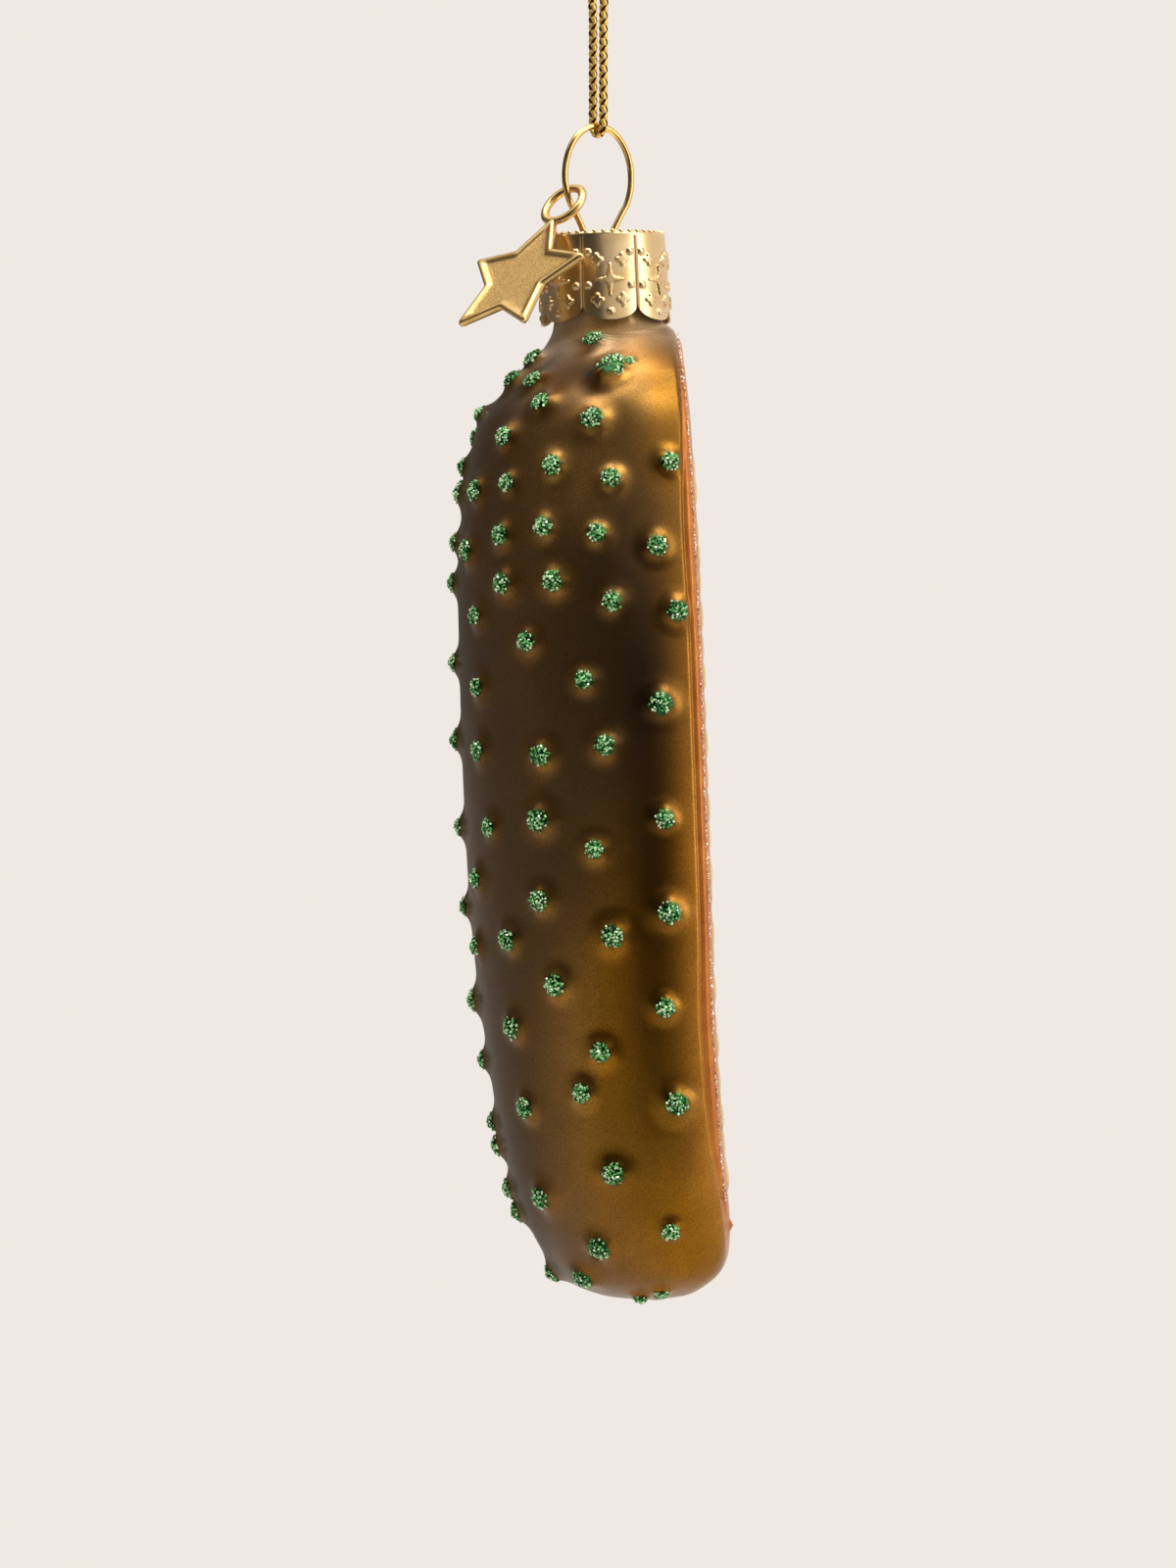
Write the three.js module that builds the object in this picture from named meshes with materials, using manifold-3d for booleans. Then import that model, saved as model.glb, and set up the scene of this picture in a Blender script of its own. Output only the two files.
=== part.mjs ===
// Glass ornament: a gherkin of blown glass cut flat on one side, under a stamped cap, a wire loop,
// a star charm and a doubled cord.
// Millimetres, +Z up. The origin is where a hook bears, inside the cord loop just under its knot.
// +X points the way the cut face looks, and the photograph looks along +Y.

import * as THREE from "three";
import { mergeVertices } from "three/addons/utils/BufferGeometryUtils.js";
import Module from "manifold-3d";

const wasm = await Module();
wasm.setup();

// Cord
const cordDiameter = 0.95;
const hookToWire = 22.7; // from the hook down to the middle of the wire that the cord carries
const cordTurn = -52; // degrees: the two strands lie along this direction, counted from +X
const cordBendRadius = 0.95; // of the cord's centreline where it goes under the wire
const cordSteps = 60;
const cordSides = 8;
const bendSteps = 8;
// One strand from the knot down, as its distance from the middle and its height over the wire.
const strandRoute = [
  [0.55, 23.9],
  [1.25, 21.6],
  [1.8, 19],
  [1.35, 16.2],
  [1.02, 13.4],
  [0.98, 9],
  [0.96, 4.5],
];
const knotWidth = 3.6;
const knotHeight = 3.4;
const knotGap = 0.3; // between the knot and the strands under it
const knotDepth = 2.9; // across the plane of the strands
const knotSides = 16;
const knotRings = 10;
const tailLength = 6;
const tailSteps = 6;
const tailFoot = 0.55; // from the knot's middle to each cord end where it leaves the knot
const tailBend = 0.5; // how far each cord end has leant out halfway up
const tailSpread = 1.6; // and at its tip

// Hanger wire
const wireDiameter = 0.75;
const wireTurn = 34; // degrees: the plane of the loop, counted from the XZ plane
const loopHalfWidth = 4.65;
const loopHalfHeight = 5.95;
const loopToCap = 0.6; // from the lowest point of the loop's oval down to the cap's top
const loopTurnIn = 45; // degrees under level, where the oval turns in to the cap
const legHalfGap = 2.05; // from the loop's middle to each leg where it enters the cap
const legStraight = 1.2; // how far a leg runs straight under the cap's top
const legLength = 23;
const legToBore = 1.375; // from a leg's side to the neck's bore, because the wire stands off the neck's axis
const wireSteps = 80;
const wireSides = 8;

// Cap
const capTopRadius = 7.3;
const capRimRadius = 7.6;
const capHeight = 10.1;
const capSheet = 0.3;
const capOffset = new THREE.Vector2(0.6, 0.5); // of the cap's middle from the line under the cord
const petals = 7;
const petalTurn = 4.5; // degrees: the front petal's middle, counted from the camera's side
const petalRound = 1.9; // how far a petal's round end reaches below its corners
const slitWidth = 0.36;
const slitTop = 1.1; // from the cap's top down to where a slit ends
const wireHoleGap = 0.35; // all round the wire
const petalSegments = 8;
const petalCornerSteps = 5;
const wireHoleSides = 16;

// How the weight leans the cap and the glass as they hang
const leanToFace = 1.6; // degrees, the lower end towards +X
const leanToCamera = 0.3; // degrees, the lower end towards -Y

// Glass
const wall = 0.95;
const cutWall = 0.72; // the flat side is blown thinner
const neckToCap = 1; // between the neck and the cap's skirt
const neckShows = 1.5; // how much of the neck shows under the cap
const mouthGap = 0.3; // between the cap's underside and the neck's mouth
const rindLength = 113;
const rindBack = 19.5; // from the rind's axis to the round back, at its widest
const frontBulge = 2.5; // how much further the uncut gherkin would reach on the cut side
const frontFade = 6; // how late that bulge fades towards the blossom end
const sideShare = 1.012; // half width over the mean of back and front
const cutDepth = 9.2; // from the rind's axis to the cut face
const cutRound = 3; // over how much the rind rounds into the cut face
const rindSlant = 1.2; // degrees between the neck's axis and the rind's
const rindOffset = 0.26; // of the rind's axis from the neck's at the shoulder
const rindSides = 40;
const rindRings = 26;
const liningRings = 15;
const outlineSteps = 400;
// The round back under the shoulder: share of the rind's length, share of its back.
const backOutline = [
  [0.023, 0.467],
  [0.046, 0.595],
  [0.083, 0.77],
  [0.156, 0.897],
  [0.23, 0.964],
  [0.32, 0.985],
  [0.49, 1],
  [0.61, 0.99],
  [0.71, 0.949],
  [0.83, 0.867],
  [0.9, 0.769],
  [0.946, 0.651],
  [0.973, 0.528],
  [0.99, 0.34],
  [1, 0],
];

// Warts
const wartRadius = 2;
const wartHeight = 1.1;
const wartWaist = 0.55; // share of a wart's radius where its flank turns in to the tip
const wartWaistHeight = 0.8; // share of a wart's height there
const wartSides = 6;
// On the photographed side: depth under the shoulder as a percentage of the rind's length, and distance
// from its axis towards the cut as a percentage of its back.
const warts = [
  [0.7, -10], [1.3, -46], [3.9, -49], [3.3, -58], [3.9, 0], [3.5, 11], [6.9, -42], [9.7, -12],
  [7.3, -79], [10.8, -63], [14.3, -36], [14.6, 31], [15.9, -3], [13.1, -90], [15.7, -63],
  [16.1, -81], [15.9, -98], [20.4, -43], [20.9, -68], [21.4, -13], [23, 21], [22.1, -88],
  [20.9, -103], [25.8, -68], [25.9, -39], [25.1, -98], [28.3, -6], [28.8, -85], [29.6, 31],
  [31.9, -56], [36, -24], [33.3, -104], [36.1, -86], [38.8, 19], [41.2, -104], [42.7, -14],
  [42.5, -87], [43.4, -51], [49.9, -54], [50.2, -105], [50.4, -83], [50.4, 18], [53.1, -23],
  [55.6, -92], [58, -56], [58.4, -105], [59.8, 18], [61.9, -15], [62.5, -94], [61.9, -75],
  [66.6, -49], [68.1, -98], [69.3, 13], [70.8, -75], [73.5, -25], [74.3, -97], [77.6, -37],
  [79, 17], [79, -70], [80.7, -89], [85.8, -21], [87.6, -85], [88.2, -63], [92, 10], [93.4, -31],
  [96.3, -59], [96.6, -41], [99.5, -7],
];
const farSideShift = 2.4; // the unseen side repeats the pattern this much lower
const farSideEnd = 97; // and stops at this depth
const silhouetteAcross = -92; // warts further back than this stand on the outline and serve both sides

// Star charm
const starArms = 5;
const starTip = 9.3;
const starInner = 4.9;
const starTipRound = 0.7;
const starThickness = 0.9;
const starRim = 0.8; // width of the raised rim
const starRimHeight = 0.25;
const starFieldRound = 0.2;
const eyeOuter = 3.05;
const eyeInner = 2.1;
const eyeOverTip = 1.05; // how far the eye reaches over the top arm's tip
const eyeAngle = 27.6; // degrees under level, where the star hangs on the left side of the loop
const wireToEye = 1.15; // from the wire's middle to the eye's inner edge, which it crosses at a slant
const wireSideInEye = 14.6; // degrees from the top arm, the side of the eye that the wire is on
const starYaw = -43.85; // degrees about Z
const starSpin = -0.7; // degrees in its own plane
const starToCap = 0.2; // between the star's back and the cap's edge that it leans on
const eyeSegments = 12; // in each half turn of the eye

const degrees = THREE.MathUtils.degToRad;

// Sizes that follow from those above
const loopHeight = 2 * loopHalfHeight + loopToCap; // from the wire's top down to the cap's top
const neckRadius = capTopRadius - capSheet - neckToCap;
const neckLength = capHeight - capSheet - mouthGap + neckShows;
const legBow = neckRadius - wall - wireDiameter / 2 - legToBore; // the furthest that a leg springs out
const wartSink = wall / 2; // how deep a wart's foot lies in the wall
const eyeDistance = starTip + eyeOuter - eyeOverTip; // from the star's middle to the eye's

// Materials
function material(color, roughness, metalness) {
  return new THREE.MeshStandardMaterial({ color, roughness, metalness });
}
const lacqueredGlass = material(0x4b3d24, 0.28, 0.55);
const paleGold = material(0xd9b878, 0.3, 1);
const gold = material(0xc99a45, 0.28, 1);
const goldBraid = material(0xb98d2b, 0.45, 0.7);

// Turns a closed geometry into a solid that can be cut and joined.
function solid(geometry) {
  const bare = geometry.index ? geometry.toNonIndexed() : geometry.clone();
  bare.deleteAttribute("normal");
  bare.deleteAttribute("uv");
  const merged = mergeVertices(bare, 1e-4);
  return new wasm.Manifold(
    new wasm.Mesh({
      numProp: 3,
      vertProperties: merged.attributes.position.array,
      triVerts: new Uint32Array(merged.index.array),
    }),
  );
}

// Turns a solid back into a geometry.
function geometryOf(made) {
  const mesh = made.getMesh();
  const geometry = new THREE.BufferGeometry();
  const corners = new Float32Array(mesh.numVert * 3);
  for (let i = 0; i < mesh.numVert; i++) {
    for (let axis = 0; axis < 3; axis++) {
      corners[i * 3 + axis] = mesh.vertProperties[i * mesh.numProp + axis];
    }
  }
  geometry.setAttribute("position", new THREE.BufferAttribute(corners, 3));
  geometry.setIndex(new THREE.BufferAttribute(mesh.triVerts, 1));
  geometry.computeVertexNormals();
  return geometry;
}

function named(name, geometry, look) {
  const mesh = new THREE.Mesh(geometry, look);
  mesh.name = name;
  return mesh;
}

// A round tube along a curve.
function tube(curve, diameter, sides, steps) {
  const section = new THREE.Shape();
  for (let i = 0; i < sides; i++) {
    const angle = (2 * Math.PI * i) / sides;
    const x = (diameter / 2) * Math.cos(angle);
    const y = (diameter / 2) * Math.sin(angle);
    if (i === 0) section.moveTo(x, y);
    else section.lineTo(x, y);
  }
  return new THREE.ExtrudeGeometry(section, { steps, extrudePath: curve, bevelEnabled: false });
}

// A closed skin over rings of equal count, from one end point to the other.
function skinOf(first, rings, last) {
  const count = rings[0].length;
  const points = [first, ...rings.flat(), last];
  const end = points.length - 1;
  const faces = [];
  for (let i = 0; i < count; i++) {
    const next = (i + 1) % count;
    faces.push(0, 1 + next, 1 + i);
    for (let r = 0; r + 1 < rings.length; r++) {
      const low = 1 + r * count;
      const high = low + count;
      faces.push(low + i, low + next, high + next);
      faces.push(low + i, high + next, high + i);
    }
    const lastRing = 1 + (rings.length - 1) * count;
    faces.push(lastRing + i, lastRing + next, end);
  }
  const geometry = new THREE.BufferGeometry().setFromPoints(points);
  geometry.setIndex(faces);
  return geometry;
}

// Glass body, from the middle of the neck's mouth downwards
const outline = new THREE.SplineCurve(
  [[0, neckRadius / rindBack], ...backOutline].map(([along, back]) => new THREE.Vector2(along, back)),
);
const outlineSamples = outline.getPoints(outlineSteps);

// The back's distance from the axis at a depth under the shoulder.
function backAt(depth) {
  const along = depth / rindLength;
  for (let i = 1; i < outlineSamples.length; i++) {
    const upper = outlineSamples[i - 1];
    const lower = outlineSamples[i];
    if (lower.x >= along) {
      const part = (along - upper.x) / Math.max(lower.x - upper.x, 1e-9);
      return rindBack * THREE.MathUtils.lerp(upper.y, lower.y, part);
    }
  }
  return 0;
}

// Half axes and middle of the uncut section at a depth under the shoulder.
function section(depth, back) {
  const front = back + frontBulge * (1 - Math.pow(Math.min(depth / rindLength, 1), frontFade));
  const deep = (back + front) / 2;
  return { deep, wide: deep * sideShare, middle: (front - back) / 2 };
}

// Distance from the axis to the rind in one direction, with the cut and its rounded corner.
function rindRadius(angle, { deep, wide, middle }, cut) {
  const c = Math.cos(angle) / deep;
  const s = Math.sin(angle) / wide;
  const m = middle / deep;
  const a = c * c + s * s;
  const round = (c * m + Math.sqrt(c * c * m * m + a * (1 - m * m))) / a;
  if (Math.cos(angle) < 1e-6) return round;
  const flat = cut / Math.cos(angle);
  const blend = Math.max(cutRound - Math.abs(round - flat), 0) / cutRound;
  return Math.min(round, flat) - (blend * blend * cutRound) / 4;
}

const rindFrame = new THREE.Matrix4()
  .makeTranslation(rindOffset, 0, -neckLength)
  .multiply(new THREE.Matrix4().makeRotationY(degrees(-rindSlant)));

function rindRing(depth, back, cut) {
  const shape = section(depth, back);
  const ring = [];
  for (let i = 0; i < rindSides; i++) {
    const angle = (2 * Math.PI * i) / rindSides;
    const radius = rindRadius(angle, shape, cut);
    const point = new THREE.Vector3(radius * Math.cos(angle), radius * Math.sin(angle), -depth);
    ring.push(point.applyMatrix4(rindFrame));
  }
  return ring;
}

function neckRing(radius, depth) {
  const ring = [];
  for (let i = 0; i < rindSides; i++) {
    const angle = (2 * Math.PI * i) / rindSides;
    ring.push(new THREE.Vector3(radius * Math.cos(angle), radius * Math.sin(angle), -depth));
  }
  return ring;
}

function glassShell() {
  const outer = outline.getSpacedPoints(rindRings).slice(1, -1);
  const lining = outline.getSpacedPoints(liningRings).slice(1, -1);
  const outerRings = outer.map((p) => rindRing(p.x * rindLength, p.y * rindBack, cutDepth));
  const liningTop = wall / 2;
  const liningLength = rindLength - wall - liningTop;
  const liningRingsMade = lining.map((p) => {
    const back = p.y * rindBack;
    const inner = back - Math.min(wall, back / 4);
    return rindRing(liningTop + p.x * liningLength, inner, cutDepth - cutWall);
  });
  const bottom = new THREE.Vector3(0, 0, -rindLength).applyMatrix4(rindFrame);
  const liningBottom = new THREE.Vector3(0, 0, -rindLength + wall).applyMatrix4(rindFrame);
  const rings = [
    ...outerRings.reverse(),
    neckRing(neckRadius, neckLength - wall),
    neckRing(neckRadius, 0),
    neckRing(neckRadius - wall, 0),
    neckRing(neckRadius - wall, neckLength),
    ...liningRingsMade,
  ];
  return solid(skinOf(bottom, rings, liningBottom));
}

// A point on the photographed (side -1) or the far side (side 1), and the way the rind faces there.
function rindPlace([down, along], side) {
  const depth = (down / 100) * rindLength;
  const across = (along / 100) * rindBack;
  const { deep, wide, middle } = section(depth, backAt(depth));
  const share = THREE.MathUtils.clamp((across - middle) / deep, -1, 1);
  const outwards = side * Math.sqrt(1 - share * share);
  const here = new THREE.Vector3(middle + deep * share, wide * outwards, -depth);
  const level = new THREE.Vector3(share / deep, outwards / wide, 0).normalize();
  const step = rindLength / 200;
  const slope = (backAt(depth + step) - backAt(Math.max(depth - step, 0))) / (2 * step);
  const facing = level.clone().setZ(slope).normalize();
  return { here, facing };
}

function wart(place, side) {
  const { here, facing } = rindPlace(place, side);
  const profile = [
    new THREE.Vector2(0, -wartSink),
    new THREE.Vector2(wartRadius, -wartSink / 2),
    new THREE.Vector2(wartRadius * wartWaist, wartHeight * wartWaistHeight),
    new THREE.Vector2(0, wartHeight),
  ];
  const dome = new THREE.LatheGeometry(profile, wartSides);
  const upright = new THREE.Quaternion().setFromUnitVectors(new THREE.Vector3(0, 1, 0), facing);
  dome.applyQuaternion(upright);
  dome.translate(here.x, here.y, here.z);
  dome.applyMatrix4(rindFrame);
  return solid(dome);
}

function glassBody() {
  let body = glassShell();
  for (const place of warts) {
    body = body.add(wart(place, -1));
  }
  const unseen = warts
    .filter(([down, along]) => along > silhouetteAcross && down + farSideShift < farSideEnd)
    .map(([down, along]) => [down + farSideShift, along]);
  for (const place of unseen) {
    body = body.add(wart(place, 1));
  }
  return geometryOf(body);
}

// Cap, from the middle of its top downwards
function capShell() {
  const profile = [
    new THREE.Vector2(0, -capSheet),
    new THREE.Vector2(capTopRadius - 2 * capSheet, -capSheet),
    new THREE.Vector2(capTopRadius - capSheet, -2 * capSheet),
    new THREE.Vector2(capRimRadius - capSheet, -capHeight),
    new THREE.Vector2(capRimRadius, -capHeight),
    new THREE.Vector2(capTopRadius, -capSheet),
    new THREE.Vector2(capTopRadius - capSheet, 0),
    new THREE.Vector2(0, 0),
  ];
  const lathe = new THREE.LatheGeometry(profile, petals * petalSegments);
  lathe.rotateX(Math.PI / 2);
  return solid(lathe);
}

// The space between two petals: a slit, widening below into the petals' round ends.
function petalGap() {
  const half = (Math.PI * capRimRadius) / petals;
  const corner = -(capHeight - petalRound);
  const under = -(capHeight + petalRound);
  const outlineOfGap = new THREE.Shape();
  outlineOfGap.moveTo(-slitWidth / 2, -slitTop);
  outlineOfGap.lineTo(-slitWidth / 2, corner);
  for (let i = 1; i <= petalCornerSteps; i++) {
    const angle = (Math.PI / 2) * (i / petalCornerSteps);
    outlineOfGap.lineTo(
      -slitWidth / 2 - (half - slitWidth / 2) * (1 - Math.cos(angle)),
      corner - petalRound * Math.sin(angle),
    );
  }
  outlineOfGap.lineTo(-half, under);
  outlineOfGap.lineTo(half, under);
  for (let i = petalCornerSteps; i >= 1; i--) {
    const angle = (Math.PI / 2) * (i / petalCornerSteps);
    outlineOfGap.lineTo(
      slitWidth / 2 + (half - slitWidth / 2) * (1 - Math.cos(angle)),
      corner - petalRound * Math.sin(angle),
    );
  }
  outlineOfGap.lineTo(slitWidth / 2, corner);
  outlineOfGap.lineTo(slitWidth / 2, -slitTop);
  const gap = new THREE.ExtrudeGeometry(outlineOfGap, {
    depth: capRimRadius,
    bevelEnabled: false,
  });
  gap.rotateX(Math.PI / 2);
  gap.translate(0, -capTopRadius / 2, 0);
  return gap;
}

function cap() {
  let made = capShell();
  for (let i = 0; i < petals; i++) {
    const gap = petalGap();
    gap.rotateZ(degrees(petalTurn) + ((i + 0.5) * 2 * Math.PI) / petals);
    made = made.subtract(solid(gap));
  }
  const holeRadius = wireDiameter / 2 + wireHoleGap;
  for (const side of [-1, 1]) {
    const hole = new THREE.CylinderGeometry(holeRadius, holeRadius, 4 * capSheet, wireHoleSides);
    hole.rotateX(Math.PI / 2);
    const place = new THREE.Vector3(side * legHalfGap, 0, 0);
    place.applyAxisAngle(new THREE.Vector3(0, 0, 1), degrees(wireTurn));
    hole.translate(place.x - capOffset.x, place.y - capOffset.y, -capSheet / 2);
    made = made.subtract(solid(hole));
  }
  return geometryOf(made);
}

// Hanger wire, from the top of its loop downwards, in the XZ plane
function loopPoint(angle) {
  return [
    loopHalfWidth * Math.cos(degrees(angle)),
    loopHalfHeight * (Math.sin(degrees(angle)) - 1),
  ];
}

function wirePath() {
  const half = [];
  const arcSteps = 10;
  for (let i = 0; i <= arcSteps; i++) {
    half.push(loopPoint(90 - (90 + loopTurnIn) * (i / arcSteps)));
  }
  half.push([legHalfGap, -loopHeight]);
  half.push([legHalfGap, -loopHeight - legStraight]);
  half.push([(legHalfGap + 3 * legBow) / 4, -loopHeight - legLength / 4]);
  half.push([legBow, -loopHeight - legLength / 2]);
  half.push([(legHalfGap + 3 * legBow) / 4, -loopHeight - legLength]);
  const point = ([x, z]) => new THREE.Vector3(x, 0, z);
  const left = half.slice(1).reverse().map(([x, z]) => point([-x, z]));
  return new THREE.CatmullRomCurve3([...left, ...half.map(point)]);
}

// Star charm, flat in its own XY plane with its top arm along +Y
function starShape(tip, inner, round) {
  const shape = new THREE.Shape();
  const corner = (radius, fromTop) => {
    const angle = Math.PI / 2 + fromTop;
    return new THREE.Vector2(radius * Math.cos(angle), radius * Math.sin(angle));
  };
  const turn = (2 * Math.PI) / starArms;
  for (let i = 0; i < starArms; i++) {
    const point = corner(tip, i * turn);
    const before = corner(inner, (i - 0.5) * turn);
    const after = corner(inner, (i + 0.5) * turn);
    const start = point.clone().add(before.clone().sub(point).setLength(round));
    const finish = point.clone().add(after.clone().sub(point).setLength(round));
    if (i === 0) shape.moveTo(start.x, start.y);
    else shape.lineTo(start.x, start.y);
    const blunt = start.clone().add(finish).divideScalar(2).lerp(point, 0.5);
    shape.lineTo(blunt.x, blunt.y);
    shape.lineTo(finish.x, finish.y);
    shape.lineTo(after.x, after.y);
  }
  return shape;
}

function plate(shape, thickness, lift) {
  const made = new THREE.ExtrudeGeometry(shape, {
    depth: thickness,
    bevelEnabled: false,
    curveSegments: eyeSegments,
  });
  made.translate(0, 0, lift);
  return solid(made);
}

function starCharm() {
  const cornerOut = starInner * Math.sin(Math.PI / starArms);
  const cornerDown = starTip - starInner * Math.cos(Math.PI / starArms);
  const fieldTip = starTip - starRim / Math.sin(Math.atan2(cornerOut, cornerDown));
  const fieldInner = starInner * (fieldTip / starTip);
  const ring = new THREE.Shape();
  ring.absarc(0, eyeDistance, eyeOuter, 0, 2 * Math.PI);
  const bore = new THREE.Path();
  bore.absarc(0, eyeDistance, eyeInner, 0, 2 * Math.PI, true);
  ring.holes.push(bore);
  const body = plate(starShape(starTip, starInner, starTipRound), starThickness, -starThickness / 2);
  const fieldShape = starShape(fieldTip, fieldInner, starFieldRound);
  const field = plate(fieldShape, starThickness, starThickness / 2 - starRimHeight);
  const eye = plate(ring, starThickness, -starThickness / 2);
  return geometryOf(body.subtract(field).add(eye));
}

// Cord: one strand down, round under the wire and up again, in the plane of cordTurn
function cordPath() {
  const down = strandRoute.map(([out, up]) => [-out, up]);
  const bend = [];
  for (let i = 0; i <= bendSteps; i++) {
    const angle = Math.PI + (Math.PI * i) / bendSteps;
    bend.push([cordBendRadius * Math.cos(angle), cordBendRadius * Math.sin(angle)]);
  }
  const up = [...strandRoute].reverse();
  const points = [...down, ...bend, ...up].map(([out, height]) => new THREE.Vector3(out, 0, height));
  return new THREE.CatmullRomCurve3(points);
}

function cordKnot() {
  const ball = new THREE.SphereGeometry(0.5, knotSides, knotRings);
  ball.rotateX(Math.PI / 2);
  ball.scale(knotWidth, knotDepth, knotHeight);
  let made = solid(ball);
  for (const side of [-1, 1]) {
    const tail = new THREE.CatmullRomCurve3([
      new THREE.Vector3(side * tailFoot, 0, 0),
      new THREE.Vector3(side * (tailFoot + tailBend), 0, (knotHeight + tailLength) / 2),
      new THREE.Vector3(side * (tailFoot + tailSpread), 0, knotHeight / 2 + tailLength),
    ]);
    made = made.add(solid(tube(tail, cordDiameter, cordSides, tailSteps)));
  }
  return geometryOf(made);
}

// Assembly
const ornament = new THREE.Group();

const knot = named("cord_knot", cordKnot(), goldBraid);
knot.position.z = strandRoute[0][1] - hookToWire + knotGap + knotHeight / 2;
knot.rotation.z = degrees(cordTurn);
ornament.add(knot);

const hung = new THREE.Group();
hung.position.z = -hookToWire;
ornament.add(hung);

const cord = named("cord_loop", tube(cordPath(), cordDiameter, cordSides, cordSteps), goldBraid);
cord.rotation.z = degrees(cordTurn);
hung.add(cord);

const wire = named("hanger_wire", tube(wirePath(), wireDiameter, wireSides, wireSteps), gold);
wire.rotation.z = degrees(wireTurn);
hung.add(wire);

const capGroup = new THREE.Group();
capGroup.position.set(capOffset.x, capOffset.y, -loopHeight);
capGroup.rotation.set(degrees(-leanToCamera), degrees(-leanToFace), 0);
hung.add(capGroup);
capGroup.add(named("cap", cap(), paleGold));

const glass = named("glass_body", glassBody(), lacqueredGlass);
glass.position.z = -capSheet - mouthGap;
capGroup.add(glass);

// The star hangs on the loop by its eye, and leans back on the edge of the cap's top.
const [eyeAcross, eyeHeight] = loopPoint(180 + eyeAngle);
const starGroup = new THREE.Group();
starGroup.position.set(eyeAcross, 0, eyeHeight);
starGroup.position.applyAxisAngle(new THREE.Vector3(0, 0, 1), degrees(wireTurn));
starGroup.rotation.z = degrees(starYaw);
hung.add(starGroup);

function leanOnCap() {
  const outwards = new THREE.Vector2(Math.sin(degrees(starYaw)), -Math.cos(degrees(starYaw)));
  const toMiddle = capOffset.clone().sub(starGroup.position);
  const edgeOut = capTopRadius + toMiddle.dot(outwards);
  const edgeDown = loopHeight + capSheet + starGroup.position.z;
  const behind = starThickness / 2 + starToCap;
  return Math.atan2(edgeDown, edgeOut) - Math.asin(behind / Math.hypot(edgeOut, edgeDown));
}

const starTilt = new THREE.Group();
starTilt.rotation.set(leanOnCap(), 0, 0);
starGroup.add(starTilt);
const starTurn = new THREE.Group();
starTurn.rotation.z = degrees(starSpin);
starTilt.add(starTurn);
const star = named("star_charm", starCharm(), gold);
const wireInEye = eyeInner - wireToEye;
star.position.x = -wireInEye * Math.sin(degrees(wireSideInEye));
star.position.y = -eyeDistance - wireInEye * Math.cos(degrees(wireSideInEye));
starTurn.add(star);

export default ornament;
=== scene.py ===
import math

import bmesh
import bpy
import numpy as np
from mathutils import Matrix, Vector


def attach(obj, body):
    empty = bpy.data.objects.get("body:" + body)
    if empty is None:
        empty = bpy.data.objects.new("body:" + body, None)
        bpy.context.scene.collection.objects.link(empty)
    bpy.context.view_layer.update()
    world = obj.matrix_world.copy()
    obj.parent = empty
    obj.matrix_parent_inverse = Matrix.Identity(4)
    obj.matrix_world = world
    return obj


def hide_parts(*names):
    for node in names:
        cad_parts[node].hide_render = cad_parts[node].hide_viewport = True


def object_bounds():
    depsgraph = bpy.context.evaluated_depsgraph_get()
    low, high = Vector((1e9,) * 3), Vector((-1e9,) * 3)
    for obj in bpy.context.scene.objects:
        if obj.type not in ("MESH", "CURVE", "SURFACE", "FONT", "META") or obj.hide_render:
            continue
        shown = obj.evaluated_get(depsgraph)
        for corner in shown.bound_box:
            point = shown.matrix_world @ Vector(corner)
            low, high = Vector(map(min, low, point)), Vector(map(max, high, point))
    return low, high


MM = 0.001
FULL_TURN = 2 * math.pi
SHARP_ANGLE = 48  # degrees between two faces from which their edge is sharp
SPLINE_STEPS = 40
SIDE_START = (0.3, 0.9, 0.1)  # no path starts along this direction
OFF = 99  # millimetres that keep a search away from a point

# Camera
PHOTO_SCALE = 8.75  # pixels to the millimetre at the object
PHOTO_HEIGHT = 1600
CAMERA_DISTANCE = 0.75
CAMERA_PLACE = (-1.19 * MM, -CAMERA_DISTANCE, -99.44 * MM)
SENSOR = 36
CLIP_START = 0.01

# Hanging: places shared with the CAD source, in millimetres and degrees
HOOK_TO_WIRE = 22.7
CAP_OFFSET = (0.6, 0.5)
LOOP_HEIGHT = 12.5
LEAN_TO_FACE = 1.6
LEAN_TO_CAMERA = 0.3
CAP_SHEET = 0.3
MOUTH_GAP = 0.3

# Cord, in millimetres
CORD_DIAMETER = 0.95
CORD_TURN = -52
CORD_BEND_RADIUS = 0.95
BEND_STEPS = 8
STRAND_ROUTE = [
    (0.55, 23.9),
    (1.25, 21.6),
    (1.8, 19),
    (1.35, 16.2),
    (1.02, 13.4),
    (0.98, 9),
    (0.96, 4.5),
]

# Wire
WIRE_DIAMETER = 0.75
WIRE_TURN = 34
LOOP_HALF_WIDTH = 4.65
LOOP_HALF_HEIGHT = 5.95
LOOP_TURN_IN = 45
LEG_HALF_GAP = 2.05
LEG_STRAIGHT = 1.2
LEG_LENGTH = 23
LEG_BOW = 3.3

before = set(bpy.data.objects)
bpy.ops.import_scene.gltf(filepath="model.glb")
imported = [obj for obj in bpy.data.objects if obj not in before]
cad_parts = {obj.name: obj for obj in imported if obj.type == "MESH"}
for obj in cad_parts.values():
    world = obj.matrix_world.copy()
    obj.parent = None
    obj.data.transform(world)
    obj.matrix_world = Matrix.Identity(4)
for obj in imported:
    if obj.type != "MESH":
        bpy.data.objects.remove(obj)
cad_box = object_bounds()
MIDDLE = (cad_box[0] + cad_box[1]) / 2
rng = np.random.default_rng(12)


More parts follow.
